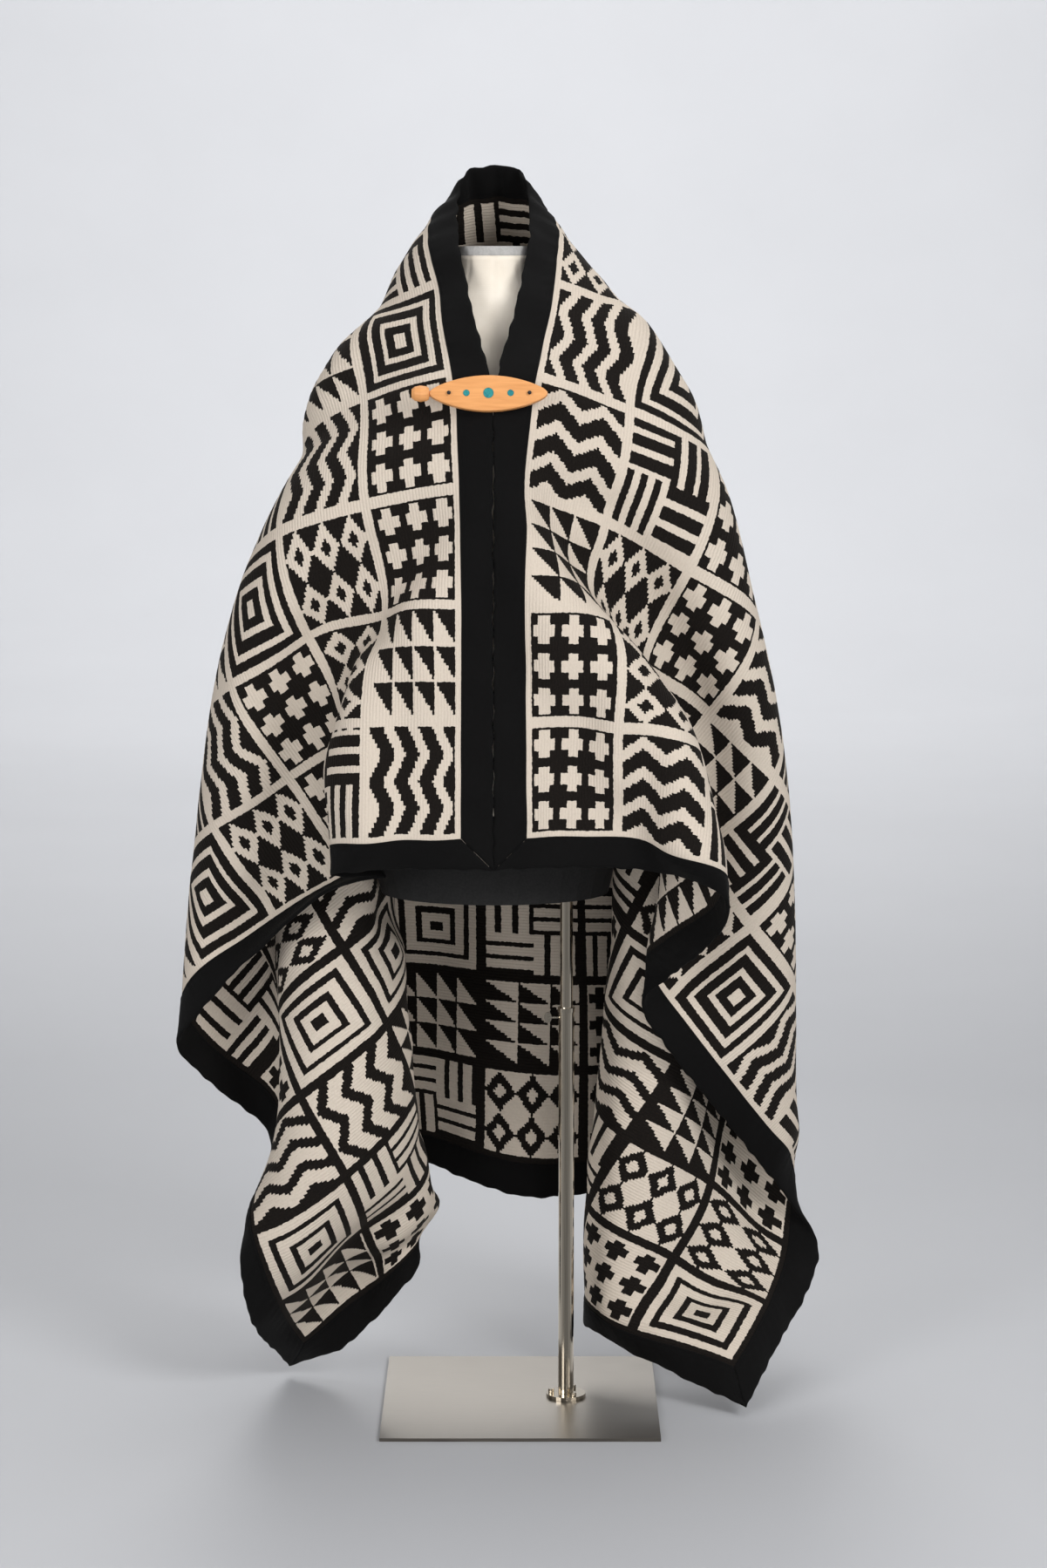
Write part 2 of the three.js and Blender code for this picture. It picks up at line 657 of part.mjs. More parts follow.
// The wool panel inside its binding, and the four strips of the binding. The long strips run
// through the corners and the short ones butt against them.
function bound(cloth, normals) {
  const span = ([from, to]) => Array.from({ length: to - from + 1 }, (_, n) => from + n);
  const within = (value, [from, to]) => value >= from && value <= to;
  return BOUND_SHEETS.map(({ name, cols, rows, out, finish }) => {
    const table = span(rows).map((row) => span(cols).map((col) => ({ col, row })));
    const onSeam = ({ col, row }) => out && within(col + out.col, cols) && within(row + out.row, rows);
    const face = (side) => (spot) => {
      const n = at(spot.col, spot.row);
      const point = cloth[n].clone().addScaledVector(normals[n], (side * WOOL_THICKNESS) / 2);
      return onSeam(spot) ? point.add(seamStep(cloth, normals, spot, out)) : point;
    };
    return sheet(name, table, face(1), face(-1), finish);
  });
}

// A stack of the form's sections between two heights
function formBlock(name, bottom, top, material) {
  const bands = Math.max(1, Math.round((top - bottom) / FORM_STEP));
  const points = [];
  const triangles = [];
  for (let band = 0; band <= bands; band++) {
    const z = lerp(bottom, top, band / bands);
    const section = formSection(z);
    for (let side = 0; side < FORM_SIDES; side++) {
      const angle = (2 * Math.PI * side) / FORM_SIDES;
      const x = FORM_X + section.halfWidth * Math.cos(angle);
      points.push(new THREE.Vector3(x, section.y + section.halfDepth * Math.sin(angle), z));
    }
  }
  for (let side = 0; side < FORM_SIDES; side++) {
    const next = (side + 1) % FORM_SIDES;
    for (let band = 0; band < bands; band++) {
      const low = band * FORM_SIDES;
      const high = low + FORM_SIDES;
      triangles.push([low + side, low + next, high + side]);
      triangles.push([low + next, high + next, high + side]);
    }
    if (side > 0 && side < FORM_SIDES - 1) {
      const last = bands * FORM_SIDES;
      triangles.push([0, next, side], [last, last + side, last + next]);
    }
  }
  return closedMesh(name, points, triangles, material);
}

// Booleans on three.js geometries
const wasm = await Module();
wasm.setup();

function solid(geometry) {
  const bare = geometry.index ? geometry.toNonIndexed() : geometry.clone();
  bare.deleteAttribute("normal");
  bare.deleteAttribute("uv");
  const merged = mergeVertices(bare);
  return new wasm.Manifold(new wasm.Mesh({
    numProp: 3,
    vertProperties: new Float32Array(merged.attributes.position.array),
    triVerts: new Uint32Array(merged.index.array),
  }));
}

function geometryOf(manifold) {
  const mesh = manifold.getMesh();
  const geometry = new THREE.BufferGeometry();
  geometry.setAttribute("position", new THREE.BufferAttribute(mesh.vertProperties, 3));
  geometry.setIndex(new THREE.BufferAttribute(mesh.triVerts, 1));
  geometry.computeVertexNormals();
  return geometry;
}

// A turned piece along +Z from [radius, height] pairs that start and end on the axis
function turned(profile, sides) {
  const points = profile.map(([radius, height]) => new THREE.Vector2(radius, height));
  return new THREE.LatheGeometry(points, sides).rotateX(Math.PI / 2);
}

function placed(name, geometry, material, x, y, z) {
  const mesh = named(name, geometry, material);
  mesh.position.set(x, y, z);
  return mesh;
}

function rod(diameter, length, sides) {
  const radius = diameter / 2;
  return turned([[0, 0], [radius, 0], [radius, length], [0, length]], sides);
}

// The plate, its flange and bolts, and the two tubes with their thumb screw
function stand() {
  const group = new THREE.Group();
  const plate = new THREE.BoxGeometry(PLATE_SIDE, PLATE_SIDE, PLATE_THICKNESS);
  group.add(placed("base_plate", plate, STEEL, 0, 0, PLATE_THICKNESS / 2));
  const flangeZ = PLATE_THICKNESS + GAP;
  const flange = rod(FLANGE_DIAMETER, FLANGE_THICKNESS, POLE_SIDES);
  group.add(placed("flange", flange, STEEL, POLE_X, 0, flangeZ));
  const deckZ = flangeZ + FLANGE_THICKNESS + GAP;
  BOLT_ANGLES.forEach((degrees, n) => {
    const angle = THREE.MathUtils.degToRad(degrees);
    const x = POLE_X + BOLT_CIRCLE * Math.cos(angle);
    const bolt = rod(BOLT_HEAD, BOLT_HEAD_HEIGHT, BOLT_SIDES);
    group.add(placed(`bolt_${n + 1}`, bolt, STEEL, x, BOLT_CIRCLE * Math.sin(angle), deckZ));
  });
  const outer = LOWER_TUBE / 2;
  const bore = UPPER_TUBE / 2 + GAP;
  const boreBottom = TUBE_JOINT_Z - TUBE_INSERT;
  const rim = outer + RIM_WALL;
  const lower = turned([
    [0, deckZ], [outer, deckZ], [outer, TUBE_JOINT_Z - RIM_HEIGHT], [rim, TUBE_JOINT_Z - RIM_HEIGHT],
    [rim, TUBE_JOINT_Z], [bore, TUBE_JOINT_Z], [bore, boreBottom], [0, boreBottom],
  ], POLE_SIDES);
  group.add(placed("pole_lower", lower, STEEL, POLE_X, 0, 0));
  const upperBottom = boreBottom + GAP;
  const upper = rod(UPPER_TUBE, FORM_SECTIONS[0].z - GAP - upperBottom, POLE_SIDES);
  group.add(placed("pole_upper", upper, STEEL, POLE_X, 0, upperBottom));
  const shaft = rod(SCREW_DIAMETER, SCREW_LENGTH + WING_WIDTH / 2, BOLT_SIDES).rotateY(-Math.PI / 2);
  const wing = rod(1, WING_THICKNESS, POLE_SIDES).scale(WING_WIDTH, WING_HEIGHT, 1).rotateX(Math.PI / 2);
  wing.translate(-SCREW_LENGTH - WING_WIDTH / 2, WING_THICKNESS / 2, 0);
  const screw = geometryOf(solid(shaft).add(solid(wing)));
  group.add(placed("thumb_screw", screw, STEEL, POLE_X - outer - GAP, 0, SCREW_Z));
  return group;
}

// The shortest way from any of the points to the meshes, along one direction
function clearance(meshes, direction, points) {
  const ray = new THREE.Raycaster();
  let nearest = Infinity;
  for (const point of points) {
    ray.set(point, direction);
    const [hit] = ray.intersectObjects(meshes);
    nearest = Math.min(nearest, hit ? hit.distance : Infinity);
  }
  return nearest;
}

// Corners, edge middles and centres of the triangles that lie above a height
function samples(mesh, bottom) {
  const place = mesh.geometry.attributes.position;
  const index = mesh.geometry.index.array;
  const points = [];
  for (let n = 0; n < index.length; n += 3) {
    const [a, b, c] = [0, 1, 2].map((k) => new THREE.Vector3().fromBufferAttribute(place, index[n + k]));
    if (Math.min(a.z, b.z, c.z) > bottom) {
      const middle = a.clone().add(b).add(c).divideScalar(3);
      points.push(a, middle, a.clone().lerp(b, 0.5), b.clone().lerp(c, 0.5), c.clone().lerp(a, 0.5));
    }
  }
  return points;
}

// Lowers the cloth until it rests on the form's shoulders
function rest(cloth, torso) {
  const [panel] = bound(cloth, clothNormals(cloth));
  const down = new THREE.Vector3(0, 0, -1);
  const up = new THREE.Vector3(0, 0, 1);
  const fall = clearance([torso], down, samples(panel, SHOULDER_Z));
  const rise = clearance([panel], up, samples(torso, SHOULDER_Z));
  const drop = Math.min(fall, rise) - SEAT_GAP;
  cloth.forEach((point) => point.addScaledVector(down, drop));
}

// The bar's face: an oval with drawn-in ends
function barOutline() {
  return Array.from({ length: BAR_POINTS }, (_, n) => {
    const angle = (2 * Math.PI * n) / BAR_POINTS;
    const drawnIn = 1 - BAR_TAPER * Math.cos(angle) ** 2;
    const x = (BAR_LENGTH / 2) * Math.cos(angle);
    return new THREE.Vector2(x, (BAR_HEIGHT / 2) * Math.sin(angle) * drawnIn);
  });
}

// The pin, in its own frame: X along the bar, Y up the chest, Z away from the cloth
function pin(wool) {
  const group = new THREE.Group();
  group.rotation.x = Math.PI / 2 - PIN_LEAN;
  const ahead = new THREE.Vector3(0, 0, 1).applyEuler(group.rotation);
  const upward = new THREE.Vector3(0, 1, 0).applyEuler(group.rotation);
  const start = new THREE.Vector3(...PIN_SPOT).addScaledVector(ahead, PIN_APPROACH);
  const spot = (x, y) => start.clone().add(new THREE.Vector3(x, 0, 0)).addScaledVector(upward, y);
  const patch = [];
  for (let x = -BAR_LENGTH / 2; x <= BAR_LENGTH / 2; x += SEAT_STEP) {
    for (let y = -BAR_HEIGHT / 2; y <= BAR_HEIGHT / 2; y += SEAT_STEP) {
      patch.push(spot(x, y));
    }
  }
  const back = ahead.clone().negate();
  const seat = clearance(wool, back, patch) - SEAT_GAP;
  group.position.copy(start).addScaledVector(back, seat);

  const face = new THREE.ExtrudeGeometry(new THREE.Shape(barOutline()), {
    depth: BAR_THICKNESS - 2 * BAR_EDGE,
    bevelThickness: BAR_EDGE,
    bevelSize: BAR_EDGE,
    bevelOffset: -BAR_EDGE,
    bevelSegments: 2,
  });
  face.translate(0, 0, BAR_EDGE);
  let bar = solid(face);
  const half = BAR_LENGTH / 2;
  const hole = rod(PEG_DIAMETER + 2 * GAP, PEG_DEPTH + BAR_EDGE, POLE_SIDES).rotateY(Math.PI / 2);
  bar = bar.subtract(solid(hole.translate(-half - BAR_EDGE, 0, BAR_THICKNESS / 2)));
  for (const { place, x, diameter } of INLAYS) {
    const floor = BAR_THICKNESS - INLAY_DEPTH;
    const recess = rod(diameter + 2 * GAP, BAR_THICKNESS, POLE_SIDES).translate(x, 0, floor - GAP);
    bar = bar.subtract(solid(recess));
    group.add(placed(`inlay_${place}`, rod(diameter, INLAY_DEPTH, POLE_SIDES), SHELL, x, 0, floor));
  }
  for (const { place, x } of CORDS) {
    const through = rod(CORD_DIAMETER + 2 * GAP, 2 * BAR_THICKNESS, BOLT_SIDES);
    bar = bar.subtract(solid(through.translate(x, 0, -BAR_THICKNESS / 2)));
    const behind = clearance(wool, back, [spot(x, 0)]) - seat - SEAT_GAP;
    group.add(placed(`cord_${place}`, knottedCord(behind), CORD, x, 0, 0));
  }
  group.add(named("pin_bar", geometryOf(bar), CEDAR));
  const peg = placed("pin_peg", pegTurning(), CEDAR, -half, 0, BAR_THICKNESS / 2);
  group.add(peg);
  return group;
}

// A cord from the cloth through the bar, with its knot in front
function knottedCord(behind) {
  const radius = CORD_DIAMETER / 2;
  const knot = KNOT_DIAMETER / 2;
  const front = BAR_THICKNESS + GAP;
  return turned([
    [0, -behind], [radius, -behind], [radius, front], [knot, front + knot / 2],
    [knot, front + knot], [radius, front + KNOT_DIAMETER * 0.7], [0, front + KNOT_DIAMETER * 0.7],
  ], BOLT_SIDES);
}

// The peg, turned in one piece: a dowel inside the bar and a rounded head at its left end
function pegTurning() {
  const dowel = PEG_DIAMETER / 2;
  const head = PEG_HEAD_DIAMETER / 2;
  const end = PEG_HEAD_LENGTH + GAP;
  return turned([
    [0, GAP - PEG_DEPTH], [dowel, GAP - PEG_DEPTH], [dowel, GAP], [head * 0.7, GAP],
    [head * 0.9, GAP + PEG_HEAD_LENGTH * 0.15], [head, GAP + PEG_HEAD_LENGTH * 0.5],
    [head * 0.85, GAP + PEG_HEAD_LENGTH * 0.82], [head * 0.55, end], [0, end],
  ], POLE_SIDES).rotateY(-Math.PI / 2);
}

const blanketAndForm = new THREE.Group();
const torsoTop = FORM_SECTIONS.at(-1).z - CAP_HEIGHT;
const torso = formBlock("form_torso", FORM_BASE_TOP + GAP, torsoTop, LINEN);
const cloth = drape();
rest(cloth, torso);
const normals = clothNormals(cloth);
const wool = bound(cloth, normals);
blanketAndForm.add(formBlock("form_base", FORM_SECTIONS[0].z, FORM_BASE_TOP, JERSEY));
blanketAndForm.add(torso);
blanketAndForm.add(formBlock("form_cap", torsoTop + GAP, FORM_SECTIONS.at(-1).z, CAP));
blanketAndForm.add(stand());
blanketAndForm.add(...wool);
blanketAndForm.add(pin(wool));

export default blanketAndForm;
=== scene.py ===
# %% [markdown]
# # A woven blanket on a dress form
# The blanket hangs round a padded form like a cape, pinned at the breast, and the form stands on a
# steel pole and plate. The solids of the frame fix every place and size. This lesson dresses them: it
# reads the drape back from the solids, draws the cloth finely over it, and gives each piece its finish.

import math

import bpy
import numpy as np
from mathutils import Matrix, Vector


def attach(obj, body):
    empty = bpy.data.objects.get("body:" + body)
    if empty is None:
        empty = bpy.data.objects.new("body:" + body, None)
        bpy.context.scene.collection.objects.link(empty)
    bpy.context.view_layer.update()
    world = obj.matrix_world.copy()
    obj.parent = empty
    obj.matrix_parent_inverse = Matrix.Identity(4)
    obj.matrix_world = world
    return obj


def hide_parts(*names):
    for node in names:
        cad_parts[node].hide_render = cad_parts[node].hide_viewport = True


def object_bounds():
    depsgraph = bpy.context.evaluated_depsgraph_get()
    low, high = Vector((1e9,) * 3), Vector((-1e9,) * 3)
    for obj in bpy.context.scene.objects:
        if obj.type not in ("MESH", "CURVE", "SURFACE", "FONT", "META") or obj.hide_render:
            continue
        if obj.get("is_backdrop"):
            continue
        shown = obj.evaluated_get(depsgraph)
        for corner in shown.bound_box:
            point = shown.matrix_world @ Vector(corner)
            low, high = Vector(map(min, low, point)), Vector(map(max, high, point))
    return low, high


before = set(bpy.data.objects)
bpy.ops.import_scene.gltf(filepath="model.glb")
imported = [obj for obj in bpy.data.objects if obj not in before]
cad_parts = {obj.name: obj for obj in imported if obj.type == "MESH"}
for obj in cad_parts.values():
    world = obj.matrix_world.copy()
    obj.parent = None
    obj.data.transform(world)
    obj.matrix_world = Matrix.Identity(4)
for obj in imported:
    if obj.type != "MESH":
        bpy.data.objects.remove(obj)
cad_low, cad_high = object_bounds()
print("CAD box", [round(v, 3) for v in cad_low], [round(v, 3) for v in cad_high])

# %% [markdown]
# ## Reading the drape back from the solids
# The wool and its four bindings are solids with two faces a few millimetres apart. Drawing over them
# would lose the weave's own directions, so the lesson numbers their points instead. Each face is a grid
# of squares split along one diagonal, so the point across an edge is always the sum of that edge's two
# ends less the third corner. Walking from triangle to triangle with that rule gives every point its
# column and row.

# %% Weld a sheet and drop its rim
MM = 0.001
RIM_EDGE = 8 * MM      # edges across the thickness are shorter than this, edges of the grid longer


def face_triangles(node):
    """Gives a sheet's welded points and the triangles of its two faces."""
    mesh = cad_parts[node].data
    mesh.calc_loop_triangles()
    points = np.array([v.co for v in mesh.vertices])
    _, first, same = np.unique(np.round(points, 6), axis=0, return_index=True, return_inverse=True)
    points = points[first]
    triangles = same.reshape(-1)[np.array([t.vertices for t in mesh.loop_triangles])]
    edges = np.linalg.norm(points[triangles] - points[np.roll(triangles, 1, axis=1)], axis=2)
    return points, triangles[edges.min(axis=1) > RIM_EDGE]


print("blanket triangles without the rim", len(face_triangles("blanket")[1]))

# %% Number the points of a face by column and row


def numbered(triangles, corners):
    """Walks over one face from its first triangle and gives each point a column and a row."""
    beside = {}
    for index, triangle in enumerate(triangles):
        for k in range(3):
            beside.setdefault(frozenset((triangle[k], triangle[k - 1])), []).append(index)
    start = triangles[0]
    place = {start[c]: np.array(at) for c, at in zip(corners, ((0, 0), (1, 0), (0, 1)))}
    waiting, seen = [0], {0}
    while waiting:
        triangle = triangles[waiting.pop()]
        for k in range(3):
            p, q, r = triangle[k - 2], triangle[k - 1], triangle[k]
            for other in beside[frozenset((p, q))]:
                if other not in seen:
                    seen.add(other)
                    far = next(v for v in triangles[other] if v != p and v != q)
                    place[far] = place[p] + place[q] - place[r]
                    waiting.append(other)
    return place


def faces_of(node):
    """Gives a sheet's two faces as grids of points, the longer way first."""
    points, triangles = face_triangles(node)
    faces = []
    while len(triangles):
        tries = [numbered(triangles, turn) for turn in ((0, 1, 2), (1, 2, 0), (2, 0, 1))]
        place = min(tries, key=lambda p: np.prod(np.ptp(list(p.values()), axis=0) + 1))
        at = np.array(list(place.values()))
        at -= at.min(axis=0)
        if at[:, 0].max() < at[:, 1].max():
            at = at[:, ::-1]
        grid = np.full((*(at.max(axis=0) + 1), 3), np.nan)
        grid[at[:, 0], at[:, 1]] = points[list(place)]
        faces.append(grid)
        triangles = np.array([t for t in triangles if t[0] not in place])
    return faces


panel_faces = faces_of("blanket")
print("faces of the wool", [face.shape for face in panel_faces])

# %% [markdown]
# The two faces still lie any way round. The ends of the neck edge are higher than the two tips of the
# hem, and the left tip is to the left, which settles the panel. Each strip is turned until its inner
# line lies on the panel's border. The middle of the two faces is then one grid for the whole blanket.

# %% Put the five sheets together


def upright(grid):
    """Turns a panel so that columns start at the left front edge and rows at the neck."""
    if grid[0, 0, 2] < grid[0, -1, 2]:
        grid = grid[:, ::-1]
    return grid[::-1] if grid[0, -1, 0] > grid[-1, -1, 0] else grid


def against(strip, border):
    """Turns a strip so that its second line lies on the panel's border."""
    trim = (len(strip) - len(border)) // 2
    turns = [strip[::a, ::b] for a in (1, -1) for b in (1, -1)]
    away = [np.linalg.norm(t[trim:len(t) - trim, 1] - border, axis=1).mean() for t in turns]
    return turns[int(np.argmin(away))]


def strip_edge(node, border):
    """Gives the outer line of a binding strip, at the middle of its thickness."""
    return np.mean([against(face, border)[:, 0] for face in faces_of(node)], axis=0)


panel_faces = [upright(face) for face in panel_faces]
panel = np.mean(panel_faces, axis=0)
COLS, ROWS = panel.shape[0] + 1, panel.shape[1] + 1
drape = np.zeros((COLS + 1, ROWS + 1, 3))
drape[1:-1, 1:-1] = panel
drape[0, 1:-1] = strip_edge("binding_left", panel[0])
drape[-1, 1:-1] = strip_edge("binding_right", panel[-1])
drape[:, 0] = strip_edge("binding_neck", panel[:, 0])
drape[:, -1] = strip_edge("binding_hem", panel[:, -1])
print("cells of the blanket", COLS, ROWS, "finite", bool(np.isfinite(drape).all()))

# %% [markdown]
# ## A smooth cloth through the grid
# The solids have squares of 39 mm, which would show as facets. A subdivision surface would round them
# but shrink the folds, so a cubic spline through every grid point is used both ways: it keeps the drape
# where the solids have it and can be asked for a point anywhere on the cloth.

# %% Spline weights and points on the cloth
CELL_MM = 39.0          # one cell of the grid, and the width of the binding
CELL = CELL_MM * MM


def spline(count, places):
    """Weights of a natural cubic spline through evenly spaced points, at the given places."""
    bend, solve = np.zeros((count, count)), np.eye(count)
    for i in range(1, count - 1):
        bend[i, i - 1:i + 2] = 6, -12, 6
        solve[i, i - 1:i + 2] = 1, 4, 1
    bend = np.linalg.solve(solve, bend)
    at = np.clip(np.floor(places).astype(int), 0, count - 2)
    f = (places - at)[:, None]
    g, unit = 1 - f, np.eye(count)
    return g * unit[at] + f * unit[at + 1] + (g**3 - g) / 6 * bend[at] + (f**3 - f) / 6 * bend[at + 1]


def smooth_cloth(col, row):
    """Points of the smooth drape at the given columns and rows."""
    along = (spline(COLS + 1, col) @ drape.reshape(COLS + 1, -1)).reshape(len(col), ROWS + 1, 3)
    return np.einsum("kj,kjx->kx", spline(ROWS + 1, row), along)


def across(surface, col, row, step=0.12):
    """Unit normals of a surface on its outer side, from its slopes along columns and rows."""
    along = surface(col + step, row) - surface(col - step, row)
    down = surface(col, row + step) - surface(col, row - step)
    normal = np.cross(along, down)
    return normal / np.linalg.norm(normal, axis=1, keepdims=True)


middle_back = np.array([COLS / 2]), np.array([ROWS / 2])
print("normal at the middle of the back", across(smooth_cloth, *middle_back).round(2))

# %% [markdown]
# ## Creases and the gathered collar
# Heavy double-woven wool bends in broad rolls and shows few sharp lines. The big folds are in the grid.
# On top come the soft troughs that run out from the pin, the breaks at the elbows, and the gathers where
# the collar is drawn together behind the neck. Three low swellings fill the slopes from the collar to the
# arms. A noise texture would scatter folds anywhere, so each is listed, as a line or a spot on the
# grid, and every run gives the same cloth.

# %% Creases
CREASES = (             # from (column, row), to (column, row), half width mm, depth mm
    ((3.0, 9.5), (12.0, 4.5), 16, -3.0), ((4.0, 11.5), (13.5, 9.0), 18, 2.6),
    ((49.0, 9.5), (40.0, 4.5), 16, -3.0), ((48.0, 11.5), (38.5, 9.0), 18, 2.6),
    ((7.0, 20.0), (9.5, 33.0), 20, -3.2), ((44.5, 19.0), (42.0, 33.0), 20, -3.2),
    ((12.0, 15.0), (13.5, 30.0), 22, 3.0), ((39.5, 16.0), (38.0, 31.0), 22, 3.0),
    ((16.5, 9.0), (17.5, 27.0), 22, -3.0), ((35.0, 9.0), (34.0, 27.0), 22, -3.0),
    ((21.5, 6.0), (20.5, 31.0), 24, 3.4), ((30.5, 6.0), (31.5, 31.0), 24, 3.4),
    ((25.0, 5.0), (24.0, 33.0), 24, -3.0), ((28.0, 5.0), (28.5, 33.0), 24, 2.6),
    ((6.0, 25.0), (14.0, 23.5), 14, -1.8), ((46.0, 24.0), (38.0, 22.5), 14, -1.8),
)
FULLNESS = (            # column, row, spread in cells, height mm: straight slopes from collar to arm
    (22.3, 3.0, 2.4, 27), (30.9, 3.6, 2.5, 28), (35.6, 7.6, 2.8, 30),
)
CREASE_END = 0.04       # share of a crease at each end where it stops fading
GATHERS = 26.0, 3.2, 33.0, 2.6      # middle column, spread in columns and rows, spacing mm, height mm
RIPPLES = ((2.13, 1.71, 0.0, 1.0), (3.31, -2.87, 1.3, 0.7))     # turn per column and row, start, share
RIPPLE_TALL, RIPPLE_IN = 1.1, 1.4   # height at the edge in mm, reach inwards in cells


def relief(col, row):
    """Height in metres that creases, fullness, gathers and rippled edges add along the normal."""
    at = np.stack([col, row], axis=1)
    height = np.zeros(len(col))
    for start, end, width, depth in CREASES:
        start, run = np.array(start), np.subtract(end, start)
        share = np.clip((at - start) @ run / (run @ run), 0, 1)
        away = np.linalg.norm(at - start - share[:, None] * run, axis=1) * CELL_MM
        fade = np.sin(np.pi * np.clip(share, CREASE_END, 1 - CREASE_END))
        height += depth * np.exp(-(away / width) ** 2) * fade
    for middle, down, spread, tall in FULLNESS:
        height += tall * np.exp(-((col - middle) ** 2 + (row - down) ** 2) / spread**2)
    middle, spread, spacing, tall = GATHERS
    phase = 2 * np.pi * (col - middle) * CELL_MM / spacing
    height += tall * np.cos(phase) * np.exp(-((col - middle) / spread) ** 2 - (row / spread) ** 2)
    edge = np.minimum(np.minimum(col, COLS - col), np.minimum(row, ROWS - row))
    ripple = sum(share * np.sin(col * a + row * b + start) for a, b, start, share in RIPPLES)
    height += RIPPLE_TALL * ripple * np.exp(-(np.maximum(edge, 0) / RIPPLE_IN) ** 2)
    return height * MM


def cloth(col, row):
    """Points at the middle of the finished cloth."""
    return smooth_cloth(col, row) + relief(col, row)[:, None] * across(smooth_cloth, col, row)


line = np.linspace(0, COLS, 200)
waist = relief(line, np.full(len(line), 20.0)) / MM
print("creases", len(CREASES), "relief along row 20 in mm", np.ptp(waist).round(1))

# %% [markdown]
# ## The wool
# The panel is one double-woven piece with a finished face on both sides, so it is modelled as two faces
# 2.4 mm apart with a rim between them. A Solidify modifier would do the same, but writing both faces
# keeps the thread places on every point: the material weaves its design from them, with the colours
# changed over on the inside.

# %% Weave the panel
HALF_WOOL = 1.2 * MM
TUCK = 0.06             # cells that the wool stops short of the fold of its binding
FINE_COLS, FINE_ROWS = 261, 145


def shown(name, points, faces, node):
    """Adds a smooth mesh that rides on the part and stands for a node of the frame."""
    mesh = bpy.data.meshes.new(name)
    mesh.from_pydata([tuple(p) for p in points], [], faces)
    mesh.polygons.foreach_set("use_smooth", [True] * len(mesh.polygons))
    piece = bpy.data.objects.new(name, mesh)
    bpy.context.scene.collection.objects.link(piece)
    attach(piece, "root")
    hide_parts(node)
    return piece


def threads(piece, col, row, side):
    """Keeps each point's place on the flat cloth in millimetres, and its side, for the material."""
    places = np.stack([col * CELL_MM, row * CELL_MM, side], axis=1)
    kept = piece.data.attributes.new("thread", "FLOAT_VECTOR", "POINT")
    kept.data.foreach_set("vector", places.astype(np.float32).ravel())


cols = np.linspace(TUCK, COLS - TUCK, FINE_COLS)
rows = np.linspace(TUCK, ROWS - TUCK, FINE_ROWS)
col, row = (a.ravel() for a in np.meshgrid(cols, rows, indexing="ij"))
middle, normal = cloth(col, row), across(cloth, col, row)
count = len(col)
index = np.arange(count).reshape(FINE_COLS, FINE_ROWS)
a, b, c, d = (s.ravel() for s in (index[:-1, :-1], index[1:, :-1], index[1:, 1:], index[:-1, 1:]))
outside = np.stack([a, b, c, d], axis=1)
inside = outside[:, ::-1] + count
around = np.concatenate([index[:-1, 0], index[-1, :-1], index[:0:-1, -1], index[0, :0:-1]])
rim = np.stack([np.roll(around, -1), around, around + count, np.roll(around, -1) + count], axis=1)
wool_blanket = shown(
    "wool_blanket", np.concatenate([middle + normal * HALF_WOOL, middle - normal * HALF_WOOL]),
    np.concatenate([outside, inside, rim]).tolist(), "blanket")
threads(wool_blanket, np.tile(col, 2), np.tile(row, 2), np.repeat([0.0, 1.0], count))
print("wool faces", len(wool_blanket.data.polygons))

# %% [markdown]
# ## The bindings
# Each edge is covered by a black cotton strip folded over it and sewn down through all layers, 39 mm wide
# on each face, with mitred corners. A flat ribbon would look painted on, so the strip is a closed shell
# with a U section: it stands a little proud of the wool, rolls round the edge, and dips at its stitch
# line, where the sewing draws it into small puckers.

# %% Section of the folded strip
SECTION = (             # cells in from the edge, height off the middle of the wool in mm
    (1.0, 1.27), (0.99, 1.95), (0.93, 2.15), (0.9, 1.6), (0.87, 2.15), (0.7, 2.5), (0.45, 2.7), (0.2, 2.7),
    (0.05, 2.5), (-0.03, 1.8), (-0.07, 0.0),
)
LINING = ((0.98, 1.27), (0.5, 1.27), (0.03, 1.25), (0.0, 0.0))
MITRE = 0.4 * MM        # half the seam left between two strips at a corner
PUCKERS = (11.0, 17.3)  # spacing of the puckers along the stitch line in mm
PUCKER_TALL = 0.4       # mm
PUCKER_AT, PUCKER_WIDE = 0.82, 0.28     # cells in from the edge
PUCKER_FROM, PUCKER_FULL = 1.5, 2.1     # mm off the middle of the wool where they start and are full
FOLD = 0.1              # cells in from the edge that belong to the fold
WANDER = ((27.0, 0.0), (43.0, 2.0))     # spacing in mm and start of the waves along the fold
WANDER_BY = 0.016       # cells


def both_sides(half):
    """Mirrors half a section, from the outer face over the fold to the inner face."""
    return list(half) + [(s, -h) for s, h in reversed(half[:-1])]


section = np.array(both_sides(SECTION) + both_sides(LINING)[::-1])
print("points round the strip", len(section))

# %% Run a strip along each edge
STRIPS = (              # node, cells along it, and column and row from the distance in and the run
    ("binding_neck", COLS, lambda s, t: (s + t * (COLS - 2 * s), s)),
    ("binding_hem", COLS, lambda s, t: (s + t * (COLS - 2 * s), ROWS - s)),
    ("binding_left", ROWS, lambda s, t: (s, s + t * (ROWS - 2 * s))),
    ("binding_right", ROWS, lambda s, t: (COLS - s, s + t * (ROWS - 2 * s))),
)
FINE_STRIP = 7          # steps in a cell along the strip


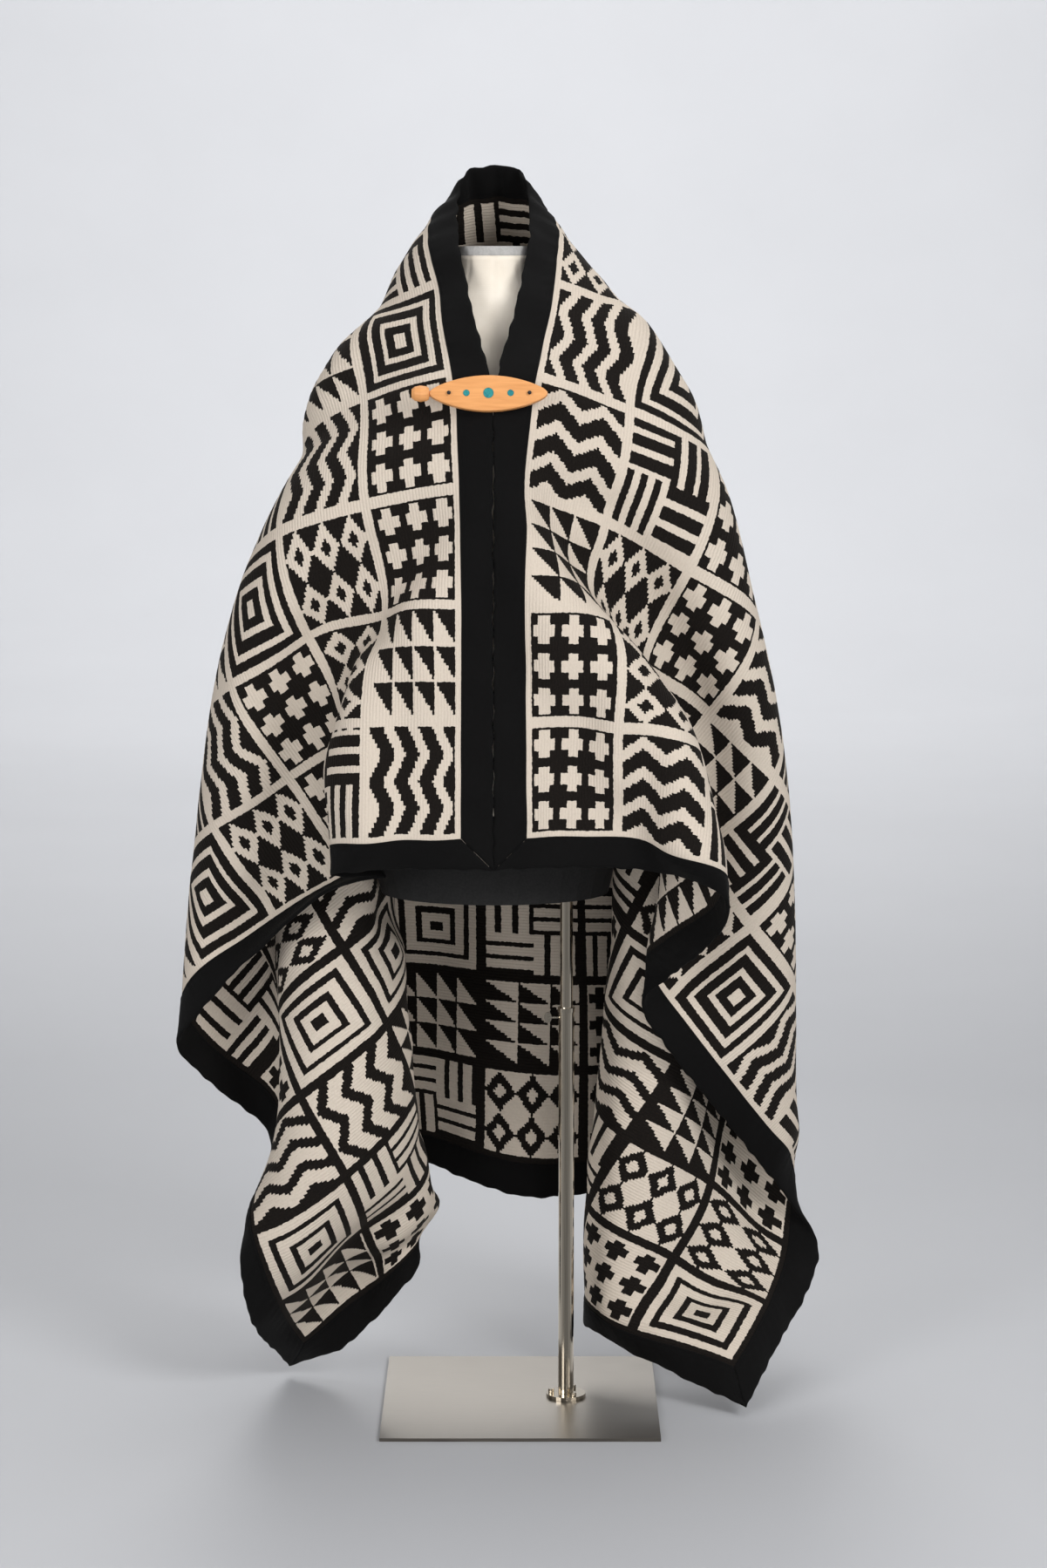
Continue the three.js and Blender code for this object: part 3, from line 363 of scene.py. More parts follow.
def bound_edge(node, length, path):
    """Makes one strip as a shell of rings, closed at both mitred ends."""
    trim = MITRE / (length * CELL)
    run = np.linspace(trim, 1 - trim, length * FINE_STRIP + 1)
    s = np.tile(section[:, 0], len(run))
    t = np.repeat(run, len(section))
    height = np.tile(section[:, 1], len(run))
    place = t * length * CELL_MM
    waves = sum(np.sin(2 * np.pi * place / w + k) for k, w in enumerate(PUCKERS))
    proud = np.clip((np.abs(height) - PUCKER_FROM) / (PUCKER_FULL - PUCKER_FROM), 0, 1)
    pucker = PUCKER_TALL * waves * np.exp(-((s - PUCKER_AT) / PUCKER_WIDE) ** 2)
    height = height + np.sign(height) * proud * pucker
    loose = sum(np.sin(2 * np.pi * place / spacing + start) for spacing, start in WANDER)
    s = s - np.where(s < FOLD, WANDER_BY * loose, 0)
    col, row = path(s, t)
    points = cloth(col, row) + height[:, None] * MM * across(cloth, col, row)
    ring = np.arange(len(points)).reshape(len(run), -1)
    here, there = ring[:-1], ring[1:]
    quads = np.stack([here, np.roll(here, -1, axis=1), np.roll(there, -1, axis=1), there], axis=2)
    faces = quads.reshape(-1, 4).tolist() + [ring[0].tolist()[::-1], ring[-1].tolist()]
    piece = shown("cotton_" + node, points, faces, node)
    threads(piece, place / CELL_MM, s, (height < 0).astype(float))
    return piece


bindings = [bound_edge(*strip) for strip in STRIPS]
print("strips", [(piece.name, len(piece.data.polygons)) for piece in bindings])

# %% [markdown]
# The shells must face outwards. Their rings run the same way on all four strips, but the edges run with
# the weave on two of them and against it on the others, so the sign of the enclosed volume decides.

# %% Turn the shells outwards


def turn_outwards(piece):
    """Flips a closed mesh if its faces point inwards."""
    mesh = piece.data
    mesh.calc_loop_triangles()
    points = np.array([v.co for v in mesh.vertices])
    corners = points[np.array([t.vertices for t in mesh.loop_triangles])]
    volume = np.einsum("ij,ij->i", corners[:, 0], np.cross(corners[:, 1], corners[:, 2])).sum() / 6
    if volume < 0:
        mesh.flip_normals()
    return volume


for piece in [wool_blanket, *bindings]:
    print(piece.name, "volume in cm3", round(turn_outwards(piece) * 1e6, 1))

# %% [markdown]
# ## The padded torso
# Above the pin the neck of the form shows between the two sides of the collar. The solid has flat bands,
# so its rings are read back and a finer skin is drawn through them with the same spline. The cover is
# sewn from panels: six upright seams and a neck seam sink a little into the padding.

# %% Draw the cover through the solid's rings
SEAMS = (-90, -52, -128, 0, 180, 90)    # degrees round the form, with the front at -90
SEAM_WIDE, SEAM_DEEP = 4 * MM, 0.9 * MM
NECK_SEAM = 1.502                       # metres above the floor
ROUND, TALL = 240, 120
LAP = 4                                 # points repeated at each end of a ring, so that the spline closes

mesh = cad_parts["form_torso"].data
skin = np.unique(np.round([v.co for v in mesh.vertices], 5), axis=0)
levels = np.unique(skin[:, 2])
rings = []
for level in levels:
    ring = skin[skin[:, 2] == level]
    centre = (ring.max(axis=0) + ring.min(axis=0)) / 2
    turn = np.arctan2(ring[:, 1] - centre[1], ring[:, 0] - centre[0])
    ring = ring[np.argsort(turn)]
    rings.append(np.concatenate([ring[-LAP:], ring, ring[:LAP]]))
sides = len(rings[0]) - 2 * LAP
whole_turns = spline(len(rings[0]), LAP + np.linspace(0, sides, ROUND, endpoint=False))
heights = np.interp(np.linspace(levels[0], levels[-1], TALL), levels, np.arange(len(levels)))
fine = np.einsum("hl,rs,lsx->hrx", spline(len(levels), heights), whole_turns, np.array(rings))
print("rings of the torso", len(levels), "finer", fine.shape)

# %% Sink the seams and close the cover
centre = (fine.max(axis=1, keepdims=True) + fine.min(axis=1, keepdims=True)) / 2
outward = (fine - centre) * (1, 1, 0)
reach = np.linalg.norm(outward, axis=2, keepdims=True)
bearing = np.degrees(np.arctan2(outward[..., 1], outward[..., 0]))
dip = np.exp(-((fine[..., 2] - NECK_SEAM) / SEAM_WIDE) ** 2)
for seam in SEAMS:
    arc = np.radians((bearing - seam + 180) % 360 - 180) * reach[..., 0]
    dip = np.maximum(dip, np.exp(-(arc / SEAM_WIDE) ** 2))
fine = fine - outward / reach * (dip * SEAM_DEEP)[..., None]
index = np.arange(TALL * ROUND).reshape(TALL, ROUND)
ahead = np.roll(index, -1, axis=1)
walls = np.stack([index[:-1], ahead[:-1], ahead[1:], index[1:]], axis=2).reshape(-1, 4).tolist()
ends = [index[0].tolist()[::-1], index[-1].tolist()]
linen_torso = shown("linen_torso", fine.reshape(-1, 3), walls + ends, "form_torso")
print("torso volume in litres", round(turn_outwards(linen_torso) * 1e3, 1))

# %% [markdown]
# ## The blanket laid flat
# The blanket is 2028 by 1404 mm laid flat, and lies on the padded torso. A cloth simulation could drape it
# afresh, but the solids have its folds already. The strips are sewn to it and go where it goes.

print("flat size", COLS * CELL, ROWS * CELL)

# %% [markdown]
# ## Finishes
# Every finish starts from what the real material is. Colours are written as they look on a screen and
# turned to the linear values that the shader works with. One helper adds a node, sets it and links it.

# %% Helpers for all finishes
WAVE = 2 * math.pi / 20     # scale of a wave texture whose bands across one axis are 1 apart


def linear(colour):
    """Turns an sRGB hex colour to linear red, green, blue and alpha."""
    parts = [int(colour[i:i + 2], 16) / 255 for i in (1, 3, 5)]
    return (*(p / 12.92 if p <= 0.04045 else ((p + 0.055) / 1.055) ** 2.4 for p in parts), 1.0)


def add(finish, kind, inputs=None, **settings):
    """Adds one node to a finish, with its settings, its values and its links."""
    node = finish.node_tree.nodes.new(kind)
    for name, value in settings.items():
        setattr(node, name, value)
    for key, value in (inputs or {}).items():
        if isinstance(value, bpy.types.NodeSocket):
            finish.node_tree.links.new(value, node.inputs[key])
        else:
            node.inputs[key].default_value = value
    return node


def blank(name):
    """Starts a finish with no nodes."""
    finish = bpy.data.materials.new(name)
    finish.use_nodes = True
    finish.node_tree.nodes.clear()
    return finish


print("linear mid grey", [round(v, 3) for v in linear("#808080")])

# %% [markdown]
# ### Double-woven wool
# Two layers of wool, black and cream, change places to draw the design, so each face has the other's
# colours. The design here is a plain block pattern: bars, diamonds, chevrons, crosses, nested squares
# and small triangles, each in a block about 15 cm wide with a cream band round it. An image would
# need a file, so the design is worked out by arithmetic from each point's place on the flat cloth.

# %% Places on the cloth
THREAD = 3.0            # mm between steps of the design, coarser than real threads so that they show
BLOCK_WIDE, BLOCK_TALL = 150.0, 120.5
BAND = 6.0              # half the cream band between blocks in mm

wool = blank("wool, double woven and brushed")
thread = add(wool, "ShaderNodeAttribute", attribute_name="thread").outputs["Vector"]
places = add(wool, "ShaderNodeSeparateXYZ", {0: thread})
fibres = add(wool, "ShaderNodeTexNoise", {"Vector": thread, "Scale": 1 / 4.0, "Detail": 2.0})
known = {"u": places.outputs[0], "v": places.outputs[1], "side": places.outputs[2],
         "fibre": fibres.outputs["Fac"]}
print("blocks across", (COLS - 2) * CELL_MM / BLOCK_WIDE, "and down", (ROWS - 2) * CELL_MM / BLOCK_TALL)

# %% The design as a list of sums
KINDS = 6
DESIGN = (              # name, operation, terms
    # whole threads, shifted a little by loose fibres, from the inner edge of the binding
    ("u0", "SUBTRACT", "u", CELL_MM), ("u1", "DIVIDE", "u0", THREAD), ("u2", "ADD", "u1", "fibre"),
    ("u3", "FLOOR", "u2"), ("u4", "MULTIPLY", "u3", THREAD / BLOCK_WIDE),
    ("v0", "SUBTRACT", "v", CELL_MM), ("v1", "DIVIDE", "v0", THREAD), ("v2", "ADD", "v1", "fibre"),
    ("v3", "FLOOR", "v2"), ("v4", "MULTIPLY", "v3", THREAD / BLOCK_TALL),
    # which block, and the place in it without its band
    ("i", "FLOOR", "u4"), ("j", "FLOOR", "v4"), ("fx", "FRACT", "u4"), ("fy", "FRACT", "v4"),
    ("gx0", "SUBTRACT", "fx", 0.5), ("gy0", "SUBTRACT", "fy", 0.5),
    ("gx1", "DIVIDE", "gx0", 1 - 2 * BAND / BLOCK_WIDE), ("gy1", "DIVIDE", "gy0", 1 - 2 * BAND / BLOCK_TALL),
    ("ax", "ABSOLUTE", "gx1"), ("ay", "ABSOLUTE", "gy1"), ("far", "MAXIMUM", "ax", "ay"),
    ("inner", "LESS_THAN", "far", 0.5), ("gx", "ADD", "gx1", 0.5), ("gy", "ADD", "gy1", 0.5),
    # every second block lies on its side
    ("ij", "ADD", "i", "j"), ("turn", "FLOORED_MODULO", "ij", 2.0), ("yx", "SUBTRACT", "gy", "gx"),
    ("tyx", "MULTIPLY", "yx", "turn"), ("px", "ADD", "gx", "tyx"), ("py", "SUBTRACT", "gy", "tyx"),
    # 0, chevrons
    ("a0", "MULTIPLY", "px", 4.0), ("a1", "PINGPONG", "a0", 1.0), ("a2", "MULTIPLY", "a1", 0.5),
    ("a3", "MULTIPLY_ADD", "py", 3.5, "a2"), ("a4", "FRACT", "a3"), ("m0", "LESS_THAN", "a4", 0.58),
    # 1, hollow cream diamonds
    ("b0", "MULTIPLY", "px", 3.0), ("b1", "PINGPONG", "b0", 0.5), ("b2", "MULTIPLY", "py", 2.0),
    ("b3", "PINGPONG", "b2", 0.5), ("b4", "ADD", "b1", "b3"), ("b5", "GREATER_THAN", "b4", 0.5),
    ("b6", "GREATER_THAN", "b4", 0.8), ("b7", "SUBTRACT", "b5", "b6"), ("m1", "SUBTRACT", 1.0, "b7"),
    # 2, bars laid as a basket
    ("c0", "MULTIPLY", "px", 2.0), ("c1", "FLOOR", "c0"), ("c2", "MULTIPLY", "py", 2.0),
    ("c3", "FLOOR", "c2"), ("c4", "ADD", "c1", "c3"), ("c5", "FLOORED_MODULO", "c4", 2.0),
    ("c6", "SUBTRACT", "py", "px"), ("c7", "MULTIPLY_ADD", "c6", "c5", "px"), ("c8", "MULTIPLY", "c7", 6.0),
    ("c9", "FRACT", "c8"), ("m2", "LESS_THAN", "c9", 0.62),
    # 3, nested squares
    ("d0", "MULTIPLY", "far", 6.0), ("d1", "FRACT", "d0"), ("m3", "GREATER_THAN", "d1", 0.4),
    # 4, cream crosses
    ("e0", "MULTIPLY", "px", 3.0), ("e1", "PINGPONG", "e0", 0.5), ("e2", "MULTIPLY", "py", 3.0),
    ("e3", "PINGPONG", "e2", 0.5), ("e4", "MAXIMUM", "e1", "e3"), ("e5", "MINIMUM", "e1", "e3"),
    ("e6", "GREATER_THAN", "e4", 0.33), ("e7", "GREATER_THAN", "e5", 0.12), ("e8", "MULTIPLY", "e6", "e7"),
    ("m4", "SUBTRACT", 1.0, "e8"),
    # 5, small triangles
    ("f0", "MULTIPLY", "px", 4.0), ("f1", "FRACT", "f0"), ("f2", "MULTIPLY", "py", 3.0),
    ("f3", "FRACT", "f2"), ("m5", "LESS_THAN", "f1", "f3"),
    # the kind of each block: along a row some meet their own kind, lying on its side
    ("k0", "MULTIPLY", "j", 2.0), ("k1", "MULTIPLY_ADD", "i", 5.0, "k0"), ("k2", "DIVIDE", "ij", 3.0),
    ("k3", "FLOOR", "k2"), ("k4", "ADD", "k1", "k3"), ("kind", "FLOORED_MODULO", "k4", float(KINDS)),
    *((f"w{k}", "COMPARE", "kind", float(k), 0.1) for k in range(KINDS)),
    ("s0", "MULTIPLY", "m0", "w0"),
    *((f"s{k}", "MULTIPLY_ADD", f"m{k}", f"w{k}", f"s{k - 1}") for k in range(1, KINDS)),
    ("outer", "MULTIPLY", f"s{KINDS - 1}", "inner"), ("swap", "SUBTRACT", "outer", "side"),
    ("black", "ABSOLUTE", "swap"),
)
for name, operation, *terms in DESIGN:
    inputs = {k: known[term] if isinstance(term, str) else term for k, term in enumerate(terms)}
    known[name] = add(wool, "ShaderNodeMath", inputs, operation=operation).outputs[0]
print("sums in the design", len(DESIGN))

# %% [markdown]
# Brushed wool is matt with a pale fuzz at grazing angles, so it gets sheen and hardly any gloss. Black yarn
# shows brown-grey fibres and cream yarn grey ones. The weave's ribs are about 2 mm, drawn at 4 mm to show.

# %% Yarn colours and ribs
speck = add(wool, "ShaderNodeTexNoise", {"Vector": thread, "Scale": 1 / 2.6, "Detail": 3.0, "Roughness": 0.7})
cloudy = add(wool, "ShaderNodeTexNoise", {"Vector": thread, "Scale": 1 / 70.0, "Detail": 2.0})
dark = add(wool, "ShaderNodeMix", {0: speck.outputs["Fac"], 6: linear("#050404"), 7: linear("#211c18")},
           data_type="RGBA")
pale = add(wool, "ShaderNodeMix", {0: speck.outputs["Fac"], 6: linear("#e2d7c8"), 7: linear("#b3a697")},
           data_type="RGBA")
worn = add(wool, "ShaderNodeMix", {0: cloudy.outputs["Fac"], 6: pale.outputs[2], 7: linear("#cabdae")},
           data_type="RGBA")
yarn = add(wool, "ShaderNodeMix", {0: known["black"], 6: worn.outputs[2], 7: dark.outputs[2]},
           data_type="RGBA")
ribs = add(wool, "ShaderNodeTexWave", {"Vector": thread, "Scale": WAVE / 4.0, "Distortion": 1.2,
                                       "Detail": 2.0}, bands_direction="Y")
nap = add(wool, "ShaderNodeMath", {0: ribs.outputs["Fac"], 1: speck.outputs["Fac"]}, operation="ADD")
wool_bump = add(wool, "ShaderNodeBump", {"Height": nap.outputs[0], "Strength": 0.5, "Distance": 0.0009})
wool_look = add(wool, "ShaderNodeBsdfPrincipled", {
    "Base Color": yarn.outputs[2], "Roughness": 0.95, "IOR": 1.54, "Specular IOR Level": 0.12,
    "Sheen Weight": 0.03, "Sheen Roughness": 0.5, "Sheen Tint": linear("#e8dccd"),
    "Normal": wool_bump.outputs[0]})
add(wool, "ShaderNodeOutputMaterial", {"Surface": wool_look.outputs[0]})
wool_blanket.data.materials.append(wool)
print("nodes in the wool", len(wool.node_tree.nodes))

# %% [markdown]
# ### Cotton twill
# The bindings are black cotton twill, matt, with slanting ribs under 1 mm and a little lint. Plain black
# would look like plastic. Ribs and lint are drawn long along the strip and very fine across it, so they
# don't show one by one, and only break up the light.

# %% Black twill
twill = blank("cotton, black twill")
FINER = 39.0            # times finer across the strip than along it
strip_place = add(twill, "ShaderNodeAttribute", attribute_name="thread").outputs["Vector"]
drawn_out = add(twill, "ShaderNodeVectorMath", {0: strip_place, 1: (1.0, FINER, 0.0)},
                operation="MULTIPLY").outputs[0]
slant = add(twill, "ShaderNodeTexWave", {"Vector": drawn_out, "Scale": WAVE / 3.0, "Distortion": 0.6},
            bands_direction="DIAGONAL")
lint = add(twill, "ShaderNodeTexNoise", {"Vector": drawn_out, "Scale": 1 / 9.0, "Detail": 4.0,
                                         "Roughness": 0.65})
faded = add(twill, "ShaderNodeMix", {0: lint.outputs["Fac"], 6: linear("#030303"), 7: linear("#0e0d0d")},
            data_type="RGBA")
twill_bump = add(twill, "ShaderNodeBump", {"Height": slant.outputs["Fac"], "Strength": 0.35,
                                           "Distance": 0.0005})
twill_look = add(twill, "ShaderNodeBsdfPrincipled", {
    "Base Color": faded.outputs[2], "Roughness": 0.85, "IOR": 1.53, "Specular IOR Level": 0.12,
    "Sheen Weight": 0.01, "Sheen Roughness": 0.5, "Normal": twill_bump.outputs[0]})
add(twill, "ShaderNodeOutputMaterial", {"Surface": twill_look.outputs[0]})
for piece in bindings:
    piece.data.materials.append(twill)
print("nodes in the twill", len(twill.node_tree.nodes))

# %% [markdown]
# ### Linen, jersey and the felt cap of the form
# A dress form is padded and covered in unbleached linen, stretched smooth, with a plain weave that shows
# as fine crossed threads. The band under it is black jersey and the neck is closed with grey felt.
# An image of cloth would need a file, so two crossed waves draw the threads. They are about 0.8 mm and
# are drawn at 2.5 mm, and the loops of the jersey at 3 mm.

# %% Linen cover
linen = blank("linen, unbleached plain weave")
at = add(linen, "ShaderNodeTexCoord").outputs["Object"]
warp = add(linen, "ShaderNodeTexWave", {"Vector": at, "Scale": WAVE / 0.0025, "Distortion": 0.8},
           bands_direction="Z")
weft = add(linen, "ShaderNodeTexWave", {"Vector": at, "Scale": WAVE / 0.0025, "Distortion": 0.8},
           bands_direction="X")
plain = add(linen, "ShaderNodeMath", {0: warp.outputs["Fac"], 1: weft.outputs["Fac"]}, operation="MAXIMUM")
slub = add(linen, "ShaderNodeTexNoise", {"Vector": at, "Scale": 1 / 0.03, "Detail": 4.0})
flax = add(linen, "ShaderNodeMix", {0: slub.outputs["Fac"], 6: linear("#fbf3e6"), 7: linear("#e3d6c3")},
           data_type="RGBA")
linen_bump = add(linen, "ShaderNodeBump", {"Height": plain.outputs[0], "Strength": 0.25, "Distance": 0.0004})
linen_look = add(linen, "ShaderNodeBsdfPrincipled", {
    "Base Color": flax.outputs[2], "Roughness": 0.8, "IOR": 1.53, "Sheen Weight": 0.1,
    "Normal": linen_bump.outputs[0]})
add(linen, "ShaderNodeOutputMaterial", {"Surface": linen_look.outputs[0]})
linen_torso.data.materials.append(linen)
print("nodes in the linen", len(linen.node_tree.nodes))

# %% Jersey band
jersey = blank("cotton jersey, black knit")
at = add(jersey, "ShaderNodeTexCoord").outputs["Object"]
loops = add(jersey, "ShaderNodeTexVoronoi", {"Vector": at, "Scale": 1 / 0.003})
# The black is lighter in the middle of each knit loop and darker towards its edges.
loop_tone = add(jersey, "ShaderNodeMix", {0: loops.outputs["Distance"], 6: linear("#191818"),
                                       7: linear("#070707")}, data_type="RGBA")
jersey_look = add(jersey, "ShaderNodeBsdfPrincipled", {
    "Base Color": loop_tone.outputs[2], "Roughness": 0.85, "IOR": 1.53})
add(jersey, "ShaderNodeOutputMaterial", {"Surface": jersey_look.outputs[0]})
print("nodes in the jersey", len(jersey.node_tree.nodes))

# %% Felt cap
felt = blank("wool felt, pressed grey")
at = add(felt, "ShaderNodeTexCoord").outputs["Object"]
hairs = add(felt, "ShaderNodeTexNoise", {"Vector": at, "Scale": 1 / 0.006, "Detail": 5.0, "Roughness": 0.7})
greys = add(felt, "ShaderNodeMix", {0: hairs.outputs["Fac"], 6: linear("#8d8b88"), 7: linear("#c9c7c4")},
            data_type="RGBA")
felt_bump = add(felt, "ShaderNodeBump", {"Height": hairs.outputs["Fac"], "Strength": 0.4, "Distance": 0.001})
felt_look = add(felt, "ShaderNodeBsdfPrincipled", {
    "Base Color": greys.outputs[2], "Roughness": 0.9, "IOR": 1.5, "Normal": felt_bump.outputs[0]})
add(felt, "ShaderNodeOutputMaterial", {"Surface": felt_look.outputs[0]})
print("nodes in the felt", len(felt.node_tree.nodes))

# %% [markdown]
# ### Brushed steel
# The plate and tubes are brushed with an abrasive belt: the plate across its width, the tubes along their
# length. A shader that stretches highlights could stand for the scratches, but shows none of them. They
# are finer than a hair, and are drawn 1.5 mm wide and very long, as changes in roughness and tone.

# %% Plate, tubes and fittings


def brushed(name, stretch, low, high, rough):
    """A steel brushed along one way, with streaks squeezed across it."""
    steel = blank(name)
    at = add(steel, "ShaderNodeTexCoord").outputs["Object"]
    long_way = add(steel, "ShaderNodeVectorMath", {0: at, 1: stretch}, operation="MULTIPLY").outputs[0]
    streaks = add(steel, "ShaderNodeTexNoise", {"Vector": long_way, "Scale": 1 / 0.0015, "Detail": 3.0})
    tone = add(steel, "ShaderNodeMix", {0: streaks.outputs["Fac"], 6: linear(low), 7: linear(high)},
               data_type="RGBA")
    matt = add(steel, "ShaderNodeMapRange", {"Value": streaks.outputs["Fac"], 3: rough * 0.7, 4: rough * 1.3})
    scratch = add(steel, "ShaderNodeBump", {"Height": streaks.outputs["Fac"], "Strength": 0.12,
                                            "Distance": 0.0003})
    look = add(steel, "ShaderNodeBsdfPrincipled", {
        "Base Color": tone.outputs[2], "Metallic": 1.0, "Roughness": matt.outputs[0],
        "Normal": scratch.outputs[0]})
    add(steel, "ShaderNodeOutputMaterial", {"Surface": look.outputs[0]})
    return steel


plate_steel = brushed("steel, brushed across", (0.03, 1.0, 1.0), "#6f6a63", "#938d85", 0.34)
tube_steel = brushed("steel, brushed nickel tube", (1.0, 1.0, 0.02), "#b3a999", "#ddd4c5", 0.13)
print("steels", plate_steel.name, tube_steel.name)

# %% [markdown]
# ### Yellow cedar, shell and waxed cord
# The pin is carved from yellow cedar, an even, pale wood with close straight grain, cut smooth and oiled.
# Its three discs are polished sea shell, blue and green in cloudy layers. The ties are waxed cord. Noise
# drawn out along the bar gives the grain without an image, at 3.5 mm, and waves give the plies of the
# cord, both coarser than life.

# %% Cedar of the pin
cedar = blank("yellow cedar, carved and oiled")
at = add(cedar, "ShaderNodeTexCoord").outputs["Object"]
grain_way = add(cedar, "ShaderNodeVectorMath", {0: at, 1: (0.08, 1.0, 1.0)}, operation="MULTIPLY").outputs[0]
grain = add(cedar, "ShaderNodeTexNoise", {"Vector": grain_way, "Scale": 1 / 0.0035, "Detail": 4.0,
                                          "Distortion": 0.4})
wood = add(cedar, "ShaderNodeMix", {0: grain.outputs["Fac"], 6: linear("#f0ad6c"), 7: linear("#c98446")},
           data_type="RGBA")
cedar_bump = add(cedar, "ShaderNodeBump", {"Height": grain.outputs["Fac"], "Strength": 0.2,
                                           "Distance": 0.0005})
cedar_look = add(cedar, "ShaderNodeBsdfPrincipled", {
    "Base Color": wood.outputs[2], "Roughness": 0.45, "IOR": 1.5, "Normal": cedar_bump.outputs[0]})
add(cedar, "ShaderNodeOutputMaterial", {"Surface": cedar_look.outputs[0]})
print("nodes in the cedar", len(cedar.node_tree.nodes))

# %% Shell of the discs
shell = blank("sea shell, polished")
at = add(shell, "ShaderNodeTexCoord").outputs["Object"]
layers = add(shell, "ShaderNodeTexNoise", {"Vector": at, "Scale": 1 / 0.006, "Detail": 3.0,
                                           "Distortion": 1.5})
pearl = add(shell, "ShaderNodeMix", {0: layers.outputs["Fac"], 6: linear("#0c3f63"), 7: linear("#3fb0a4")},
            data_type="RGBA")
shell_look = add(shell, "ShaderNodeBsdfPrincipled", {
    "Base Color": pearl.outputs[2], "Roughness": 0.18, "IOR": 1.62, "Coat Weight": 0.6,
    "Coat Roughness": 0.08})
add(shell, "ShaderNodeOutputMaterial", {"Surface": shell_look.outputs[0]})
print("nodes in the shell", len(shell.node_tree.nodes))

# %% Cord of the ties
waxed = blank("cotton cord, waxed black")
at = add(waxed, "ShaderNodeTexCoord").outputs["Object"]
plies = add(waxed, "ShaderNodeTexWave", {"Vector": at, "Scale": WAVE / 0.002},
            bands_direction="DIAGONAL")
lay = add(waxed, "ShaderNodeMix", {0: plies.outputs["Fac"], 6: linear("#0b0a0a"), 7: linear("#2a2624")},
          data_type="RGBA")
cord_look = add(waxed, "ShaderNodeBsdfPrincipled", {
    "Base Color": lay.outputs[2], "Roughness": 0.5, "IOR": 1.45})
add(waxed, "ShaderNodeOutputMaterial", {"Surface": cord_look.outputs[0]})
print("nodes in the cord", len(waxed.node_tree.nodes))

# %% [markdown]
# ## Dressing the carried-over solids
# The rest of the stand and the pin are already the right shape in the frame, so they keep their solids
# and only take a finish. Their edges stay crisp and their round faces are shaded smooth.

# %% Finish each solid
DRESS = {
    jersey: ("form_base",), felt: ("form_cap",), plate_steel: ("base_plate",),
    tube_steel: ("flange", "bolt_1", "bolt_2", "bolt_3", "pole_lower", "pole_upper", "thumb_screw"),
    cedar: ("pin_bar", "pin_peg"), shell: ("inlay_left", "inlay_middle", "inlay_right"),
    waxed: ("cord_left", "cord_right"),
}
CRISP = math.radians(35)    # edges that turn more than this stay sharp
for finish, nodes in DRESS.items():
    for name in nodes:
        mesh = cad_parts[name].data
        mesh.materials.clear()
        mesh.materials.append(finish)
        mesh.polygons.foreach_set("use_smooth", [True] * len(mesh.polygons))
        mesh.set_sharp_from_angle(angle=CRISP)
print("dressed", sum(len(nodes) for nodes in DRESS.values()))

# %% [markdown]
# ## Studio
# A pale floor sweeps up into a wall all round, far out. A flat plane would show a horizon, and this shows
# none from any side. The sweep casts no shadow, so that the light of the sky still reaches the blanket,
# and it doesn't show in the steel.

# %% Floor paint
floor_finish = blank("studio floor, matt paint")
at = add(floor_finish, "ShaderNodeTexCoord").outputs["Object"]
scuffs = add(floor_finish, "ShaderNodeTexNoise", {"Vector": at, "Scale": 1 / 0.6, "Detail": 3.0})
paint = add(floor_finish, "ShaderNodeMix", {0: scuffs.outputs["Fac"], 6: linear("#b8b9bc"),
                                            7: linear("#b3b4b7")}, data_type="RGBA")
floor_look = add(floor_finish, "ShaderNodeBsdfPrincipled", {"Base Color": paint.outputs[2],
                                                            "Roughness": 0.6, "IOR": 1.45})
add(floor_finish, "ShaderNodeOutputMaterial", {"Surface": floor_look.outputs[0]})
print("nodes in the floor", len(floor_finish.node_tree.nodes))

# %% Sweep
LEVEL, BEND = 8.0, 5.0      # radius of the level floor and of its bend up to the wall, in metres
WALL = (8.0, 12.0)          # heights of the wall's rings above the bend
SWEEP = [(r, 0.0) for r in (1.0, 2.0, 4.0, 6.0, LEVEL)] + [
    (LEVEL + BEND * math.sin(turn), BEND - BEND * math.cos(turn)) for turn in np.radians(range(6, 91, 6))
] + [(LEVEL + BEND, z) for z in WALL]
STEPS = 96
CLEARANCE = 0.2 * MM        # under the plate, so that the two faces don't flicker
circle = np.linspace(0, 2 * np.pi, STEPS, endpoint=False)
rings = [[(r * math.cos(t), r * math.sin(t), z) for t in circle] for r, z in SWEEP]
points = [(0.0, 0.0, 0.0)] + [p for ring in rings for p in ring]
faces = [(0, 1 + k, 1 + (k + 1) % STEPS) for k in range(STEPS)]
for n in range(len(rings) - 1):
    low = 1 + n * STEPS
    faces += [(low + k, low + STEPS + k, low + STEPS + (k + 1) % STEPS, low + (k + 1) % STEPS)
              for k in range(STEPS)]
mesh = bpy.data.meshes.new("floor")
mesh.from_pydata(points, [], faces)
mesh.polygons.foreach_set("use_smooth", [True] * len(faces))
mesh.materials.append(floor_finish)
floor = bpy.data.objects.new("floor", mesh)
bpy.context.scene.collection.objects.link(floor)
floor.location.z = cad_low[2] - CLEARANCE
floor.visible_shadow = floor.visible_glossy = False
floor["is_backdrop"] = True
print("floor at", round(floor.location.z, 4))

# %% [markdown]
# One broad soft light high at the right and weaker ones at the left, in front, above and behind give soft
# shadows. A last one lights the wall. A photo of a sky could light it all, but it would need a file. The
# sky here is darker behind the camera, as a studio is, which gives the steel its dark bands.

